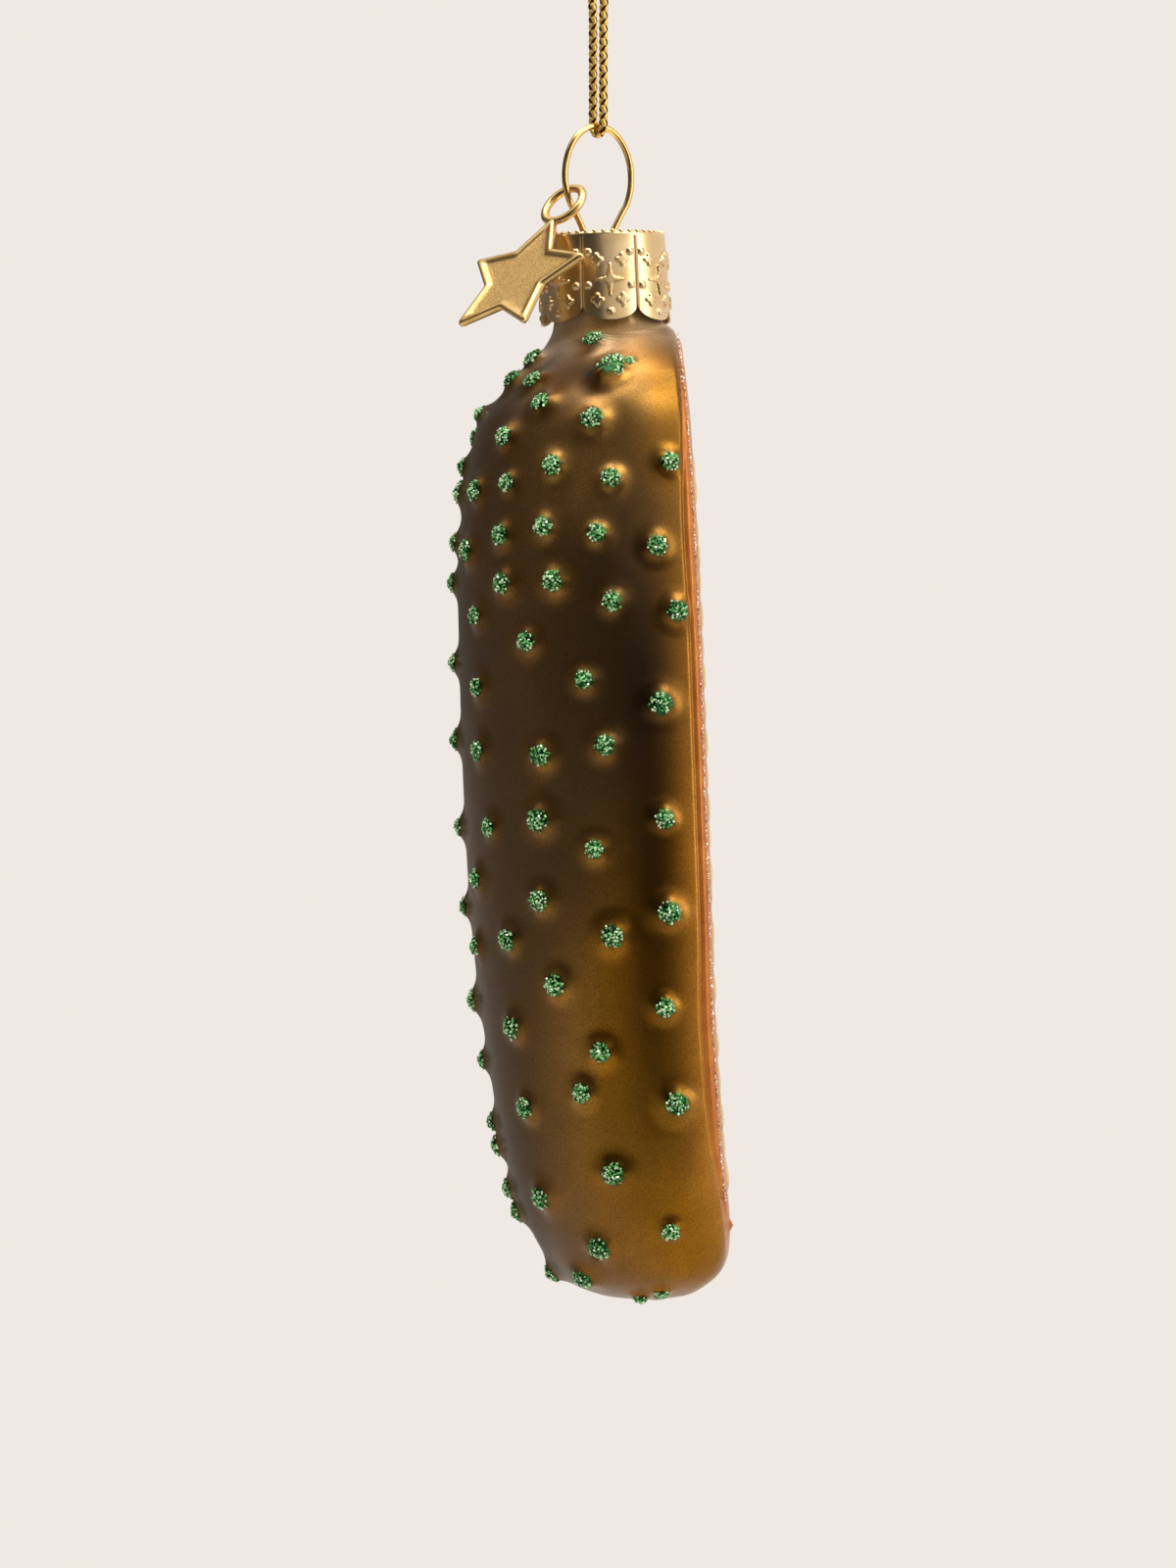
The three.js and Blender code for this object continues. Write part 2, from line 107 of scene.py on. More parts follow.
class Nodes:
    """Short ways to make and join the shader nodes of a material or world."""

    def __init__(self, made):
        self.made = made
        made.use_nodes = True
        self.tree = made.node_tree
        self.tree.nodes.clear()

    def node(self, kind, inputs=None, **settings):
        """The outputs of a new node with the settings and inputs given."""
        node = self.tree.nodes.new("ShaderNode" + kind)
        for key, value in settings.items():
            setattr(node, key, value)
        for key, value in (inputs or {}).items():
            if isinstance(value, bpy.types.NodeSocket):
                self.tree.links.new(value, node.inputs[key])
            else:
                node.inputs[key].default_value = value
        return node.outputs

    def place(self):
        return self.node("TexCoord")["Object"]

    def noise(self, size, detail=2, rough=0.5):
        inputs = {"Vector": self.place(), "Scale": 1 / size, "Detail": detail, "Roughness": rough}
        return self.node("TexNoise", inputs)["Fac"]

    def ramp(self, value, low, high, to_low=0.0, to_high=1.0):
        inputs = {"Value": value, "From Min": low, "From Max": high, "To Min": to_low, "To Max": to_high}
        return self.node("MapRange", inputs)["Result"]

    def mix(self, share, first, second):
        return self.node("Mix", {"Factor": share, "A": first, "B": second}, data_type="RGBA")["Result"]

    def math(self, kind, first, second):
        return self.node("Math", {0: first, 1: second}, operation=kind)[0]

    def paint(self, name):
        return self.node("Attribute", attribute_name=name)["Fac"]

    def bump(self, height, depth, strength):
        return self.node("Bump", {"Height": height, "Distance": depth, "Strength": strength})["Normal"]

    def blend(self, share, first, second):
        """A mixture of two shaders."""
        return self.node("MixShader", {0: share, 1: first, 2: second})[0]

    def shade(self, shader, out="OutputMaterial"):
        """The material or world with this shader."""
        self.node(out, {"Surface": shader})
        return self.made

    def surface(self, **values):
        """The material with a surface of the values given."""
        inputs = {key.replace("_", " ").title().replace("Ior", "IOR"): value for key, value in values.items()}
        return self.shade(self.node("BsdfPrincipled", inputs)[0])


def material(name):
    return Nodes(bpy.data.materials.new(name))


def colour(red, green, blue):
    """Linear colour of an sRGB one given from 0 to 255."""
    def linear(value):
        value /= 255
        return value / 12.92 if value <= 0.04045 else ((value + 0.055) / 1.055) ** 2.4

    return (linear(red), linear(green), linear(blue), 1)


def linked(name, data):
    """A new object in the scene."""
    made = bpy.data.objects.new(name, data)
    bpy.context.scene.collection.objects.link(made)
    return made


def piece(name, points, faces, look, smooth=True):
    """A mesh object from points in millimetres in the part's frame."""
    mesh = bpy.data.meshes.new(name)
    mesh.from_pydata([tuple(p) for p in np.asarray(points) * MM], [], [tuple(f) for f in faces])
    mesh.validate()
    mesh.materials.append(look)
    if smooth:
        mesh.shade_smooth()
        mesh.set_sharp_from_angle(angle=math.radians(SHARP_ANGLE))
    mesh.update()
    return linked(name, mesh)


def painted(made, name, values):
    """Gives a mesh one number at each point for its material to read."""
    held = made.data.attributes.new(name, "FLOAT", "POINT")
    held.data.foreach_set("value", np.asarray(values, np.float32))


def stage_camera():
    data = bpy.data.cameras.new("camera")
    data.sensor_width = SENSOR
    data.lens = SENSOR * CAMERA_DISTANCE / (PHOTO_HEIGHT / PHOTO_SCALE * MM)
    data.clip_start = CLIP_START
    camera = linked("camera", data)
    camera.location = CAMERA_PLACE
    camera.rotation_euler = (math.pi / 2, 0, 0)
    bpy.context.scene.camera = camera
    bpy.context.scene.view_settings.view_transform = "Standard"


stage_camera()


def unit(vectors):
    """Vectors of length 1."""
    return vectors / np.linalg.norm(vectors, axis=-1, keepdims=True)


def turns(count):
    """Angles evenly spaced over a full turn."""
    return np.arange(count) * FULL_TURN / count


def straight_step(ends, value):
    """0 at the first end, 1 at the second, a straight rise between."""
    return np.clip((value - ends[0]) / (ends[1] - ends[0]), 0, 1)


def soft_step(ends, value):
    """0 at the first end, 1 at the second, eased between."""
    share = straight_step(ends, value)
    return share * share * (3 - 2 * share)


def inside(distance, width):
    """1 within an edge and 0 beyond it, where distance counts inwards and width is the edge's own."""
    return np.clip(distance / width + 0.5, 0, 1)


def hump(distance, reach):
    """1 at no distance, falling smoothly to nothing at some twice the reach."""
    return np.exp(-((distance / reach) ** 2))


def moved(points, matrix):
    """Points carried by a matrix."""
    m = np.array(matrix)
    return np.asarray(points) @ m[:3, :3].T + m[:3, 3]


def shift(x, y, z):
    return Matrix.Translation((x, y, z))


def turn(degrees, axis):
    return Matrix.Rotation(math.radians(degrees), 4, axis)


WIRE_TOP = shift(0, 0, -HOOK_TO_WIRE)
CAP_LEAN = turn(-LEAN_TO_CAMERA, "X") @ turn(-LEAN_TO_FACE, "Y")
CAP_PLACE = WIRE_TOP @ shift(*CAP_OFFSET, -LOOP_HEIGHT) @ CAP_LEAN
GLASS_PLACE = CAP_PLACE @ shift(0, 0, -CAP_SHEET - MOUTH_GAP)


def length_along(line):
    """Distance from a line's start to each of its points."""
    return np.concatenate([[0], np.cumsum(np.linalg.norm(np.diff(line, axis=0), axis=1))])


def points_along(line, along, wanted):
    """The line's points at the distances wanted."""
    return np.column_stack([np.interp(wanted, along, line[:, k]) for k in range(3)])


def between(t, low, high, first, second):
    """The value between two, as t goes from low to high."""
    return ((high - t) * first + (t - low) * second) / (high - low)


def smooth_path(points, steps):
    """Points evenly spaced along a centripetal spline through the given points, and its length."""
    p = np.asarray(points, float)
    p = np.vstack([2 * p[0] - p[1], p, 2 * p[-1] - p[-2]])
    fine = []
    for a, b, c, d in zip(p, p[1:], p[2:], p[3:]):
        t1 = np.sqrt(np.linalg.norm(b - a))
        t2 = t1 + np.sqrt(np.linalg.norm(c - b))
        t3 = t2 + np.sqrt(np.linalg.norm(d - c))
        t = np.linspace(t1, t2, SPLINE_STEPS, endpoint=False)[:, None]
        bc = between(t, t1, t2, b, c)
        abc = between(t, 0, t2, between(t, 0, t1, a, b), bc)
        bcd = between(t, t1, t3, bc, between(t, t2, t3, c, d))
        fine.append(between(t, t1, t2, abc, bcd))
    fine = np.vstack([*fine, p[-2:-1]])
    along = length_along(fine)
    return points_along(fine, along, np.linspace(0, along[-1], steps + 1)), along[-1]


def frames_along(path):
    """Tangent and two side directions at each point of a path, without twist."""
    tangent = unit(np.gradient(path, axis=0))
    side = np.cross(tangent[0], SIDE_START)
    sides = []
    for t in tangent:
        side = unit(side - t * np.dot(side, t))
        sides.append(side)
    sides = np.array(sides)
    return tangent, sides, np.cross(tangent, sides)


def grid_faces(rows, columns, start=0, flip=False, closed=True):
    """Faces over rows of points; in a closed grid the last column is joined to the first."""
    faces = []
    for r in range(rows - 1):
        low, high = start + r * columns, start + (r + 1) * columns
        for i in range(columns if closed else columns - 1):
            j = (i + 1) % columns
            if flip:
                faces.append((low + i, low + j, high + j, high + i))
            else:
                faces.append((low + i, high + i, high + j, low + j))
    return faces


def solid_faces(rows, columns):
    """Faces over closed rows of points, and one over each end."""
    last = (rows - 1) * columns
    ends = [tuple(reversed(range(columns))), tuple(range(last, last + columns))]
    return grid_faces(rows, columns, flip=True) + ends


def tube_mesh(path, radius, sides, flat=1.0, up=None):
    """Points and faces of a tube with closed ends; flat squashes it along up."""
    tangent, first, second = frames_along(path)
    if up is not None:
        first = unit(np.cross(up, tangent))
        second = np.cross(tangent, first)
    lines = [path + radius * (math.cos(a) * first + flat * math.sin(a) * second) for a in turns(sides)]
    return np.stack(lines, axis=1).reshape(-1, 3), solid_faces(len(path), sides)


def rings(profile, columns):
    """Points of level circles round the axis, from their radius and depth."""
    angle = turns(columns)
    circle = np.column_stack([np.cos(angle), np.sin(angle)])
    levels = [np.column_stack([radius * circle, np.full(columns, -depth)]) for radius, depth in profile]
    return np.vstack(levels)


def joined(parts):
    """One set of points and faces from several."""
    points, faces, start = [], [], 0
    for some, theirs in parts:
        points.append(some)
        faces += [tuple(i + start for i in f) for f in theirs]
        start += len(some)
    return np.vstack(points), faces


# Braid
YARNS_EACH_WAY = 3
BRAID_PITCH = 4.7  # millimetres of cord for one turn of a yarn
YARN_WIDTH = 0.62
YARN_FLAT = 0.42
YARN_SIDES = 8
YARN_LIFT = 0.12
YARN_SHOULDER = 0.1  # how bright a yarn is still painted at its sides, a painted shade where it turns down between the yarns
# painted shade of the crossings: how bright a yarn is painted midway, and how much lighter on top and darker
# where it passes under another
OVER_SHARE = 0.5
OVER_SWING = 0.9
BRAID_STEP = 0.09
CORE_SIDES = 8


def braid(route):
    """Yarns going both ways round a route, over and under each other, round a core.

    Gives the parts, how brightly each point is painted for the shade between and under the yarns (the core
    wholly in shade), the smooth path and its length.
    """
    _, length = smooth_path(route, 1)
    path, _ = smooth_path(route, int(length / BRAID_STEP))
    _, first, second = frames_along(path)
    turned = FULL_TURN * np.linspace(0, length, len(path)) / BRAID_PITCH
    middle = CORD_DIAMETER / 2 - YARN_WIDTH * YARN_FLAT / 2 - YARN_LIFT / 2
    crown_lightness = YARN_SHOULDER + (1 - YARN_SHOULDER) * np.clip(np.sin(turns(YARN_SIDES)), 0, 1)
    parts, shades = [], []
    for way in (-1, 1):
        over = way * np.cos(turned * YARNS_EACH_WAY)
        painted_lightness = np.clip(OVER_SHARE + OVER_SWING * over, 0, 1)
        for start in turns(YARNS_EACH_WAY):
            angle = way * turned + start
            out = np.cos(angle)[:, None] * first + np.sin(angle)[:, None] * second
            centre = path + (middle + YARN_LIFT * over)[:, None] * out
            parts.append(tube_mesh(centre, YARN_WIDTH / 2, YARN_SIDES, YARN_FLAT, out))
            # painted shade: darker where a yarn passes under another and at its sides
            shades.append(np.outer(painted_lightness, crown_lightness).ravel())
    parts.append(tube_mesh(path, middle - YARN_LIFT, CORE_SIDES))
    # the core is painted wholly in shade
    shades.append(np.zeros(len(path) * CORE_SIDES))
    return parts, np.concatenate(shades), path, length


def braid_material():
    n = material("gold_braid")
    fine = n.noise(0.06 * MM, 3, 0.7)
    bright = n.mix(n.ramp(fine, 0.35, 0.65), colour(232, 176, 66), colour(255, 226, 134))
    return n.surface(
        # painted shade: the dark colour goes between the yarns, on the core and where a yarn passes under
        # another
        base_color=n.mix(n.ramp(n.paint("over"), 0.34, 0.62), colour(86, 44, 6), bright),
        metallic=0.75,
        roughness=n.ramp(fine, 0.2, 0.8, 0.26, 0.45),
        normal=n.bump(fine, 0.03 * MM, 0.7),
    )


gold_braid = braid_material()


def cord_points():
    """The cord's route in millimetres, from one strand's top down round the wire and up the other."""
    down = [(-out, up) for out, up in STRAND_ROUTE]
    bend = []
    for i in range(BEND_STEPS + 1):
        angle = math.pi + math.pi * i / BEND_STEPS
        bend.append((CORD_BEND_RADIUS * math.cos(angle), CORD_BEND_RADIUS * math.sin(angle)))
    flat = down + bend + list(reversed(STRAND_ROUTE))
    points = np.array([(out, 0, up - HOOK_TO_WIRE) for out, up in flat])
    return moved(points, turn(CORD_TURN, "Z"))


strands, strand_lightness, cord_path, cord_length = braid(cord_points())
cord_loop = piece("hanging_cord", *joined(strands), gold_braid)
# painted shade between and under the yarns, for the material to read
painted(cord_loop, "over", strand_lightness)
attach(cord_loop, "cord")
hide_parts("cord_loop")

# Studio, in metres
FLOOR_DROP = 0.14  # from the ornament's foot down to the floor
FLOOR_RADIUS = 6.0
FLOOR_SIDES = 64
FLOOR_SHOWS_WITHIN = (0.1, 0.7)  # the floor's own shading fades into the backdrop between these
CARD_COLUMNS = 24
CARD_ROWS = 8
NEAR = 0.36
FAR = 2.2
LAMP_DISTANCE = 1.5
DOME_STRENGTH = 0.62
WHITE = (1, 1, 1, 1)
PALE = colour(240, 233, 227)
DARK = (0.011, 0.01, 0.009, 1)
DUSK = (0.06, 0.056, 0.05, 1)
DIM = (0.13, 0.12, 0.11, 1)
SHADED = (0.16, 0.15, 0.14, 1)
LOW = (0.32, 0.3, 0.28, 1)
LIT = (0.5, 0.48, 0.44, 1)


def backdrop_world():
    """The pale backdrop, which the camera and mirrors see, and a dome that lights the rest."""
    world = bpy.data.worlds.new("backdrop")
    bpy.context.scene.world = world
    n = Nodes(world)
    ray = n.node("LightPath")
    mirrored = n.math("MAXIMUM", ray["Is Glossy Ray"], ray["Is Transmission Ray"])
    seen = n.math("MAXIMUM", ray["Is Camera Ray"], mirrored)
    dome = n.node("Background", {"Color": WHITE, "Strength": DOME_STRENGTH})[0]
    shown = n.node("Background", {"Color": PALE, "Strength": 1})[0]
    n.shade(n.blend(seen, dome, shown), "OutputWorld")


def stage_floor():
    """A round floor that fades into the backdrop away from the ornament."""
    n = material("floor")
    diffuse = n.node("BsdfDiffuse", {"Color": colour(198, 192, 187)})[0]
    even = n.node("Emission", {"Color": PALE})[0]
    away_from_foot = n.node("VectorMath", {0: n.place()}, operation="LENGTH")["Value"]
    look = n.shade(n.blend(n.ramp(away_from_foot, *FLOOR_SHOWS_WITHIN), diffuse, even))
    ring = bmesh.new()
    bmesh.ops.create_circle(ring, cap_ends=True, segments=FLOOR_SIDES, radius=FLOOR_RADIUS)
    mesh = bpy.data.meshes.new("floor")
    ring.to_mesh(mesh)
    ring.free()
    mesh.materials.append(look)
    floor = linked("floor", mesh)
    floor.location.z = cad_box[0].z - FLOOR_DROP


def direction(azimuth, elevation):
    """Away from the ornament; azimuth 0 is the camera's side, 90 its right."""
    a, e = math.radians(azimuth), math.radians(elevation)
    return Vector((math.sin(a) * math.cos(e), -math.cos(a) * math.cos(e), math.sin(e)))


def softbox(name, azimuth, elevation, width, height, power):
    """A rectangular lamp facing the ornament."""
    data = bpy.data.lights.new(name, "AREA")
    data.shape = "RECTANGLE"
    data.size = width
    data.size_y = height
    data.energy = power
    lamp = linked(name, data)
    away = direction(azimuth, elevation)
    lamp.location = MIDDLE + away * LAMP_DISTANCE
    lamp.rotation_euler = away.to_track_quat("Z", "Y").to_euler()


def card(name, azimuths, elevations, distance, grey, low_grey=None, turn_at=(0, 1)):
    """A curved dark card round the ornament, which only its reflections show.

    It may pass to another grey below, between two heights given from its middle.
    """
    n = material(name)
    height = n.node("SeparateXYZ", {0: n.place()})["Z"]
    share = n.ramp(height, MIDDLE.z + turn_at[0], MIDDLE.z + turn_at[1])
    look = n.shade(n.node("Emission", {"Color": n.mix(share, low_grey or grey, grey)})[0])
    points = [
        (MIDDLE + direction(azimuth, elevation) * distance) / MM
        for elevation in np.linspace(*elevations, CARD_ROWS + 1)
        for azimuth in np.linspace(*azimuths, CARD_COLUMNS + 1)
    ]
    faces = grid_faces(CARD_ROWS + 1, CARD_COLUMNS + 1, flip=True, closed=False)
    held = piece(name, points, faces, look)
    held.visible_camera = False
    held.visible_diffuse = False
    held.visible_shadow = False


backdrop_world()
stage_floor()
card("near_card", (-62, -6), (-34, 12), NEAR, DARK, LIT, (-0.13, -0.03))
card("near_right_card", (-6, 47), (-34, 5.5), NEAR, DARK, SHADED, (-0.14, -0.05))
card("upper_card", (-62, 22), (17, 85), FAR, DUSK)
card("far_card", (-62, -4), (-8, 17), FAR, DARK)
card("left_card", (-172, -62), (-16, 40), FAR, DIM)
card("low_left_card", (-168, -62), (-36, -4), NEAR + 0.04, LOW)
softbox("right_box", 66, 8, 0.5, 1.6, 7)
softbox("top_box", 46, 54, 0.7, 0.7, 9)
softbox("over_box", 160, 83, 1.6, 0.35, 9)
softbox("left_box", -65, 76, 0.9, 0.6, 7)

# Glass, in millimetres in its own frame: shared with the CAD source, with the finer lines of the photograph.
# Depths count down from the shoulder, and the cut face looks along +X.
WALL = 0.95
NECK_RADIUS = 6
NECK_LENGTH = 11
RIND_LENGTH = 113
RIND_BACK = 19.5
FRONT_BULGE = 2.5
FRONT_FULL = (0, 6)
FRONT_FADE = 6
SIDE_SHARE = 1.012
CUT_ROUND = 3
RIND_SLANT = 1.2
RIND_OFFSET = 0.26
# Depth as a share of the rind's length, and back radius as a share of the largest
BACK_OUTLINE = [
    (0.023, 0.5),
    (0.046, 0.635),
    (0.083, 0.795),
    (0.156, 0.905),
    (0.23, 0.964),
    (0.32, 0.985),
    (0.49, 1),
    (0.61, 0.99),
    (0.71, 0.949),
    (0.83, 0.867),
    (0.9, 0.769),
    (0.946, 0.651),
    (0.973, 0.528),
    (0.99, 0.34),
    (1, 0),
]
# Neck and the hollow curve into the shoulder: depth, radius
NECK_OUTLINE = [(-11, 6), (-6, 6), (-2.4, 6), (-1.2, 6.25), (0.1, 7.05)]
NECK_TO_RIND = (-3, 3)
SHOULDER_TILT = 0.12
SHOULDER_FROM = (-4, -1)
SHOULDER_FADE = 8
# Depth, distance of the cut face from the rind's axis
CUT_PROFILE = [
    (-12, 8.6), (0, 8.5), (4, 8.45), (11, 8.85), (22, 8.95), (37, 8.9), (55, 8.65), (80, 8.25), (95, 8.5),
    (103, 8.97), (107, 8.95), (109.5, 8.45), (111, 7.2), (112.2, 5), (113, 2.5),
]
CUT_SOFT = 2
# Depth, width of the orange edge seen from the side
BAND_PROFILE = [
    (-12, 0.2), (0, 0.3), (6, 0.6), (12, 0.9), (23, 1.5), (36, 1.3), (70, 1.3), (80, 1.6), (88, 1.5),
    (92, 1.4), (98, 0.95), (104, 0.35), (108, 0.15), (113, 0.1),
]
BAND_SOFT = 3
SOFT_STEPS = 9
RIND_ROWS = 330
RIND_COLUMNS = 300
THINNEST = 0.05
LEAST_COSINE = 1e-6
# Points of a section: how many are tried, and how they crowd at the end of the orange and past it
SECTION_STEPS = 1441
CROWD = 3.5
CROWD_REACH = 0.6
CROWD_BEYOND = 0.8
LESS_CROWD = 0.5
FACE_CROWD = 0.6
FACE_EDGE = 0.02
CREASE_DEPTH = 0.26
CREASE_WIDTH = 0.26
CREASE_TOP = (-1, 2)
CREASE_FOOT = (RIND_LENGTH, RIND_LENGTH - 4)
# Depth, and how far across towards the cut the dusty, greyer part of the lacquer reaches: partly a dusty
# tone, partly a painted sheen on the back and left of the body
DUST_AND_SHEEN_PROFILE = [
    (-12, 9), (0, 6), (5, 1), (10, 2.5), (16, 7.5), (30, 8), (48, 6.5), (62, 2), (72, -3), (84, -5),
    (96, -3), (104, 1), (113, 8),
]
DUST_AND_SHEEN_SOFT = 8
DUST_AND_SHEEN_EDGE = (7, -7)
# Depths over which the painted pale highlight on the neck under the cap fades in, from none to full
NECK_HIGHLIGHT = (4.5, -1)
# Lighter and darker patches painted on the lacquer, the first a painted highlight on the neck and the second
# a painted shade on the bare bump: depth, place across, reach along, reach across, lighter (+) or darker (-)
TONE_AND_LIGHT_PATCHES = [
    # painted highlight on the neck under the cap
    (-0.4, 1.5, 1.3, 4, 0.8),
    # painted shade on the bare bump
    (5.5, -1.1, 1.2, 1.4, -0.95),
    (18, -2, 7, 5, 0.7),
    (8, 4.6, 4, 2.4, 0.45),
    (8.5, 8.4, 6, 2.1, -0.45),
    (40, 4.8, 14, 4.5, -0.9),
    (62, 6.5, 14, 3.2, -0.65),
    (82, 5, 12, 3.5, -0.45),
    (84, -3.5, 11, 3.5, 0.35),
    (101, 5.5, 6, 5, -0.3),
    (107, -5, 7, 5, -0.35),
]
# A painted golden highlight in a strip beside the cut: its reach from the orange, and where it fades in and
# out
STRIP_REACH = 2.6
STRIP_TOP = (2, 72)
STRIP_FOOT = (112, 98)
# The cut face: its orange border passes into a paler core with seeds
CORE_FROM_EDGE = (2.8, 5.2)
CORE_DEPTHS = (3, 109)
NEAREST_EDGE = 0.01
SEED_ROWS = (17, 101, 7.2)  # first depth, last depth and step
SEED_ACROSS = (2.7, 6.6)
SEED_STAGGER = 3.6  # the outer seeds stand this much lower
SEED_SIDE_STAGGER = 1.3  # the two sides stand this much apart from the middle between them
SEED_CLOSING = 0.3  # how gently the rows of seeds close in towards their ends
SEED_TILT = 0.25
SEED_SCATTER = (0.25, 0.6, 0.12)  # across, along and in tilt
SEED_HALF_LENGTH = 2.1
SEED_HALF_WIDTH = 0.95
SEED_LEAST_WIDTH = 0.2
SEED_TAPER = 0.25
SEED_HEIGHT = 0.42
ON_CUT = 0.06
# The orange starts at the first depths, narrows to nothing between the next two, and is at most this wide
FLESH_TOP = (-0.5, 1.5)
FLESH_END = (92, 109.8)
FLESH_HALF_WIDTH = 17.8
FLESH_EDGE = 0.18
FLESH_END_EDGE = 0.2
# A drip of orange lacquer that dried at the edge of the cut
DRIP_DEPTH = 104.2
DRIP_FROM_FACE = 0.5
DEPTH_WEIGHT = 9  # how much more depth counts than place across where its foot is looked for
DRIP_HEIGHT = 0.5
DRIP_WIDTH = 0.5
DRIP_FACING = np.array([0.85, -0.5, 0.1])
LINING_ROWS = 60
LINING_COLUMNS = 80
# The lip round the neck's mouth: radius, depth under the mouth
LIP_COLUMNS = 80
LIP_OUTLINE = [
    (NECK_RADIUS, 0.05),
    (NECK_RADIUS - 0.3, 0.17),
    (NECK_RADIUS - WALL + 0.3, 0.17),
    (NECK_RADIUS - WALL, 0.05),
]

# Depth as a percentage of the rind's length, and distance from its axis towards the cut as a percentage of
# its back, on the photographed side. A third value is the size of an odd one.
WARTS = [
    (1.3, -9), (2.1, -44), (4.7, -45), (4.0, -56), (4.2, 3.4, 0.85), (4.3, -0.5, 0.95), (4.7, -4.6, 0.75),
    (5, 2.4, 0.85), (5.1, -1.6, 0.85), (4.1, 11, 0.4), (7.5, -41), (9.8, -12), (7.3, -79), (10.8, -63),
    (14.3, -36), (14.6, 31), (15.9, -3), (13.1, -90), (15.7, -63), (16.1, -81), (15.9, -98), (20.4, -43),
    (20.9, -68), (21.4, -13), (23, 21), (22.1, -88), (20.9, -103), (25.8, -68), (25.9, -39), (25.1, -98),
    (28.3, -6), (28.8, -85), (29.6, 31), (31.9, -56), (36, -24), (33.3, -104), (36.1, -86), (38.8, 19),
    (41.2, -104), (42.7, -14), (42.5, -87), (43.4, -51), (49.9, -54), (50.2, -105), (50.4, -83), (50.4, 18),
    (53.1, -23), (55.6, -92), (58, -56), (58.4, -105), (59.8, 18), (61.9, -15), (62.5, -94), (61.9, -75),
    (66.6, -49), (68.1, -98), (69.3, 13), (70.8, -75), (73.5, -25), (74.3, -97), (77.6, -37), (79, 17),
    (79, -70), (80.7, -89), (85.8, -21), (87.6, -85), (88.2, -63), (92, 10), (93.4, -31), (96.3, -59),
    (96.6, -41), (98.9, -9, 0.7), (98.5, 3, 0.7),
]
# One more bump, left bare
BARE_WARTS = [(5.6, -7, 0.9)]
FAR_SIDE_SHIFT = 2.4
FAR_SIDE_END = 97
SILHOUETTE_ACROSS = -92
WART_SIZES = (0.86, 1.12)
WART_OUTLINE_STEPS = 800
WART_SLOPE_STEP = RIND_LENGTH / 200
WART_HEIGHT = 1.2
WART_SPREAD = 1.45
WART_LEAST = 0.02
WART_NEAR = 7  # nothing farther up or down than this belongs to a wart
WART_LEVEL = 4  # nor anything farther from the rind's surface
# reach of the painted golden highlight round each wart
BESIDE_WART = 2.3
DUST_AND_SHEEN_LOST = 0.7  # share of the dusty tone and painted sheen taken away beside a wart and in the strip along the cut, which leaves a painted golden highlight there
TIP_RADIUS = 1.2
TIP_EDGE = 0.15

NECK_PLACE = GLASS_PLACE @ shift(0, 0, -NECK_LENGTH)
RIND_PLACE = GLASS_PLACE @ shift(RIND_OFFSET, 0, -NECK_LENGTH) @ turn(-RIND_SLANT, "Y")


def outline_path(steps):
    """Depth and back radius along the whole outline, from the neck's mouth to the blossom end."""
    rind = [(along * RIND_LENGTH, back * RIND_BACK) for along, back in BACK_OUTLINE]
    points = [(depth, radius, 0) for depth, radius in NECK_OUTLINE + rind]
    return smooth_path(points, steps)[0][:, :2]


def section(depth, back):
    """Half axes and middle of the uncut section."""
    bulge = FRONT_BULGE * (1 - straight_step((0, RIND_LENGTH), depth) ** FRONT_FADE)
    front = back + bulge * straight_step(FRONT_FULL, depth)
    deep = (back + front) / 2
    return deep, deep * SIDE_SHARE, (front - back) / 2


def soft_profile(profile, depth, reach):
    """A profile's value at a depth, with its corners rounded off."""
    depths, values = zip(*profile)
    shifts = np.linspace(-reach, reach, SOFT_STEPS)
    return sum(np.interp(depth + s, depths, values) for s in shifts) / len(shifts)


def section_line(depth, back, columns, inset=0.0):
    """One closed section of the rind, with more points near the edge of the cut, and the orange's end."""
    deep, wide, middle = section(depth, back)
    cut = soft_profile(CUT_PROFILE, depth, CUT_SOFT) - inset
    edge = cut - soft_profile(BAND_PROFILE, depth, BAND_SOFT)
    angle = np.linspace(math.pi, 3 * math.pi, SECTION_STEPS)
    c, s = np.cos(angle) / deep, np.sin(angle) / wide
    m = middle / deep
    a = c * c + s * s
    round_part = (c * m + np.sqrt(np.maximum(c * c * m * m + a * (1 - m * m), 0))) / a
    flat = cut / np.maximum(np.cos(angle), LEAST_COSINE)
    blend = np.maximum(CUT_ROUND - np.abs(round_part - flat), 0) / CUT_ROUND
    radius = np.minimum(round_part, flat) - blend**2 * CUT_ROUND / 4
    x, y = radius * np.cos(angle), radius * np.sin(angle)
    halfway = (x[1:] + x[:-1]) / 2
    crowd = hump(halfway - edge, CROWD_REACH)
    crowd += LESS_CROWD * hump(halfway - edge - CROWD_BEYOND, CROWD_BEYOND)
    weight = np.hypot(np.diff(x), np.diff(y)) * (1 + CROWD * crowd)
    weight *= np.where(halfway > cut - FACE_EDGE, FACE_CROWD, 1)
    along = np.concatenate([[0], np.cumsum(weight)])
    wanted = np.linspace(0, along[-1], columns, endpoint=False)
    return np.interp(wanted, along, x), np.interp(wanted, along, y), edge


def placed(points, depth):
    """Points in the part's frame: the neck stands upright in the cap, the rind slants from it."""
    near = straight_step(SHOULDER_FROM, depth) * hump(depth, SHOULDER_FADE)
    points = points + np.outer(points[:, 0] * near * SHOULDER_TILT, (0, 0, 1))
    share = soft_step(NECK_TO_RIND, depth)[:, None]
    return moved(points, NECK_PLACE) * (1 - share) + moved(points, RIND_PLACE) * share


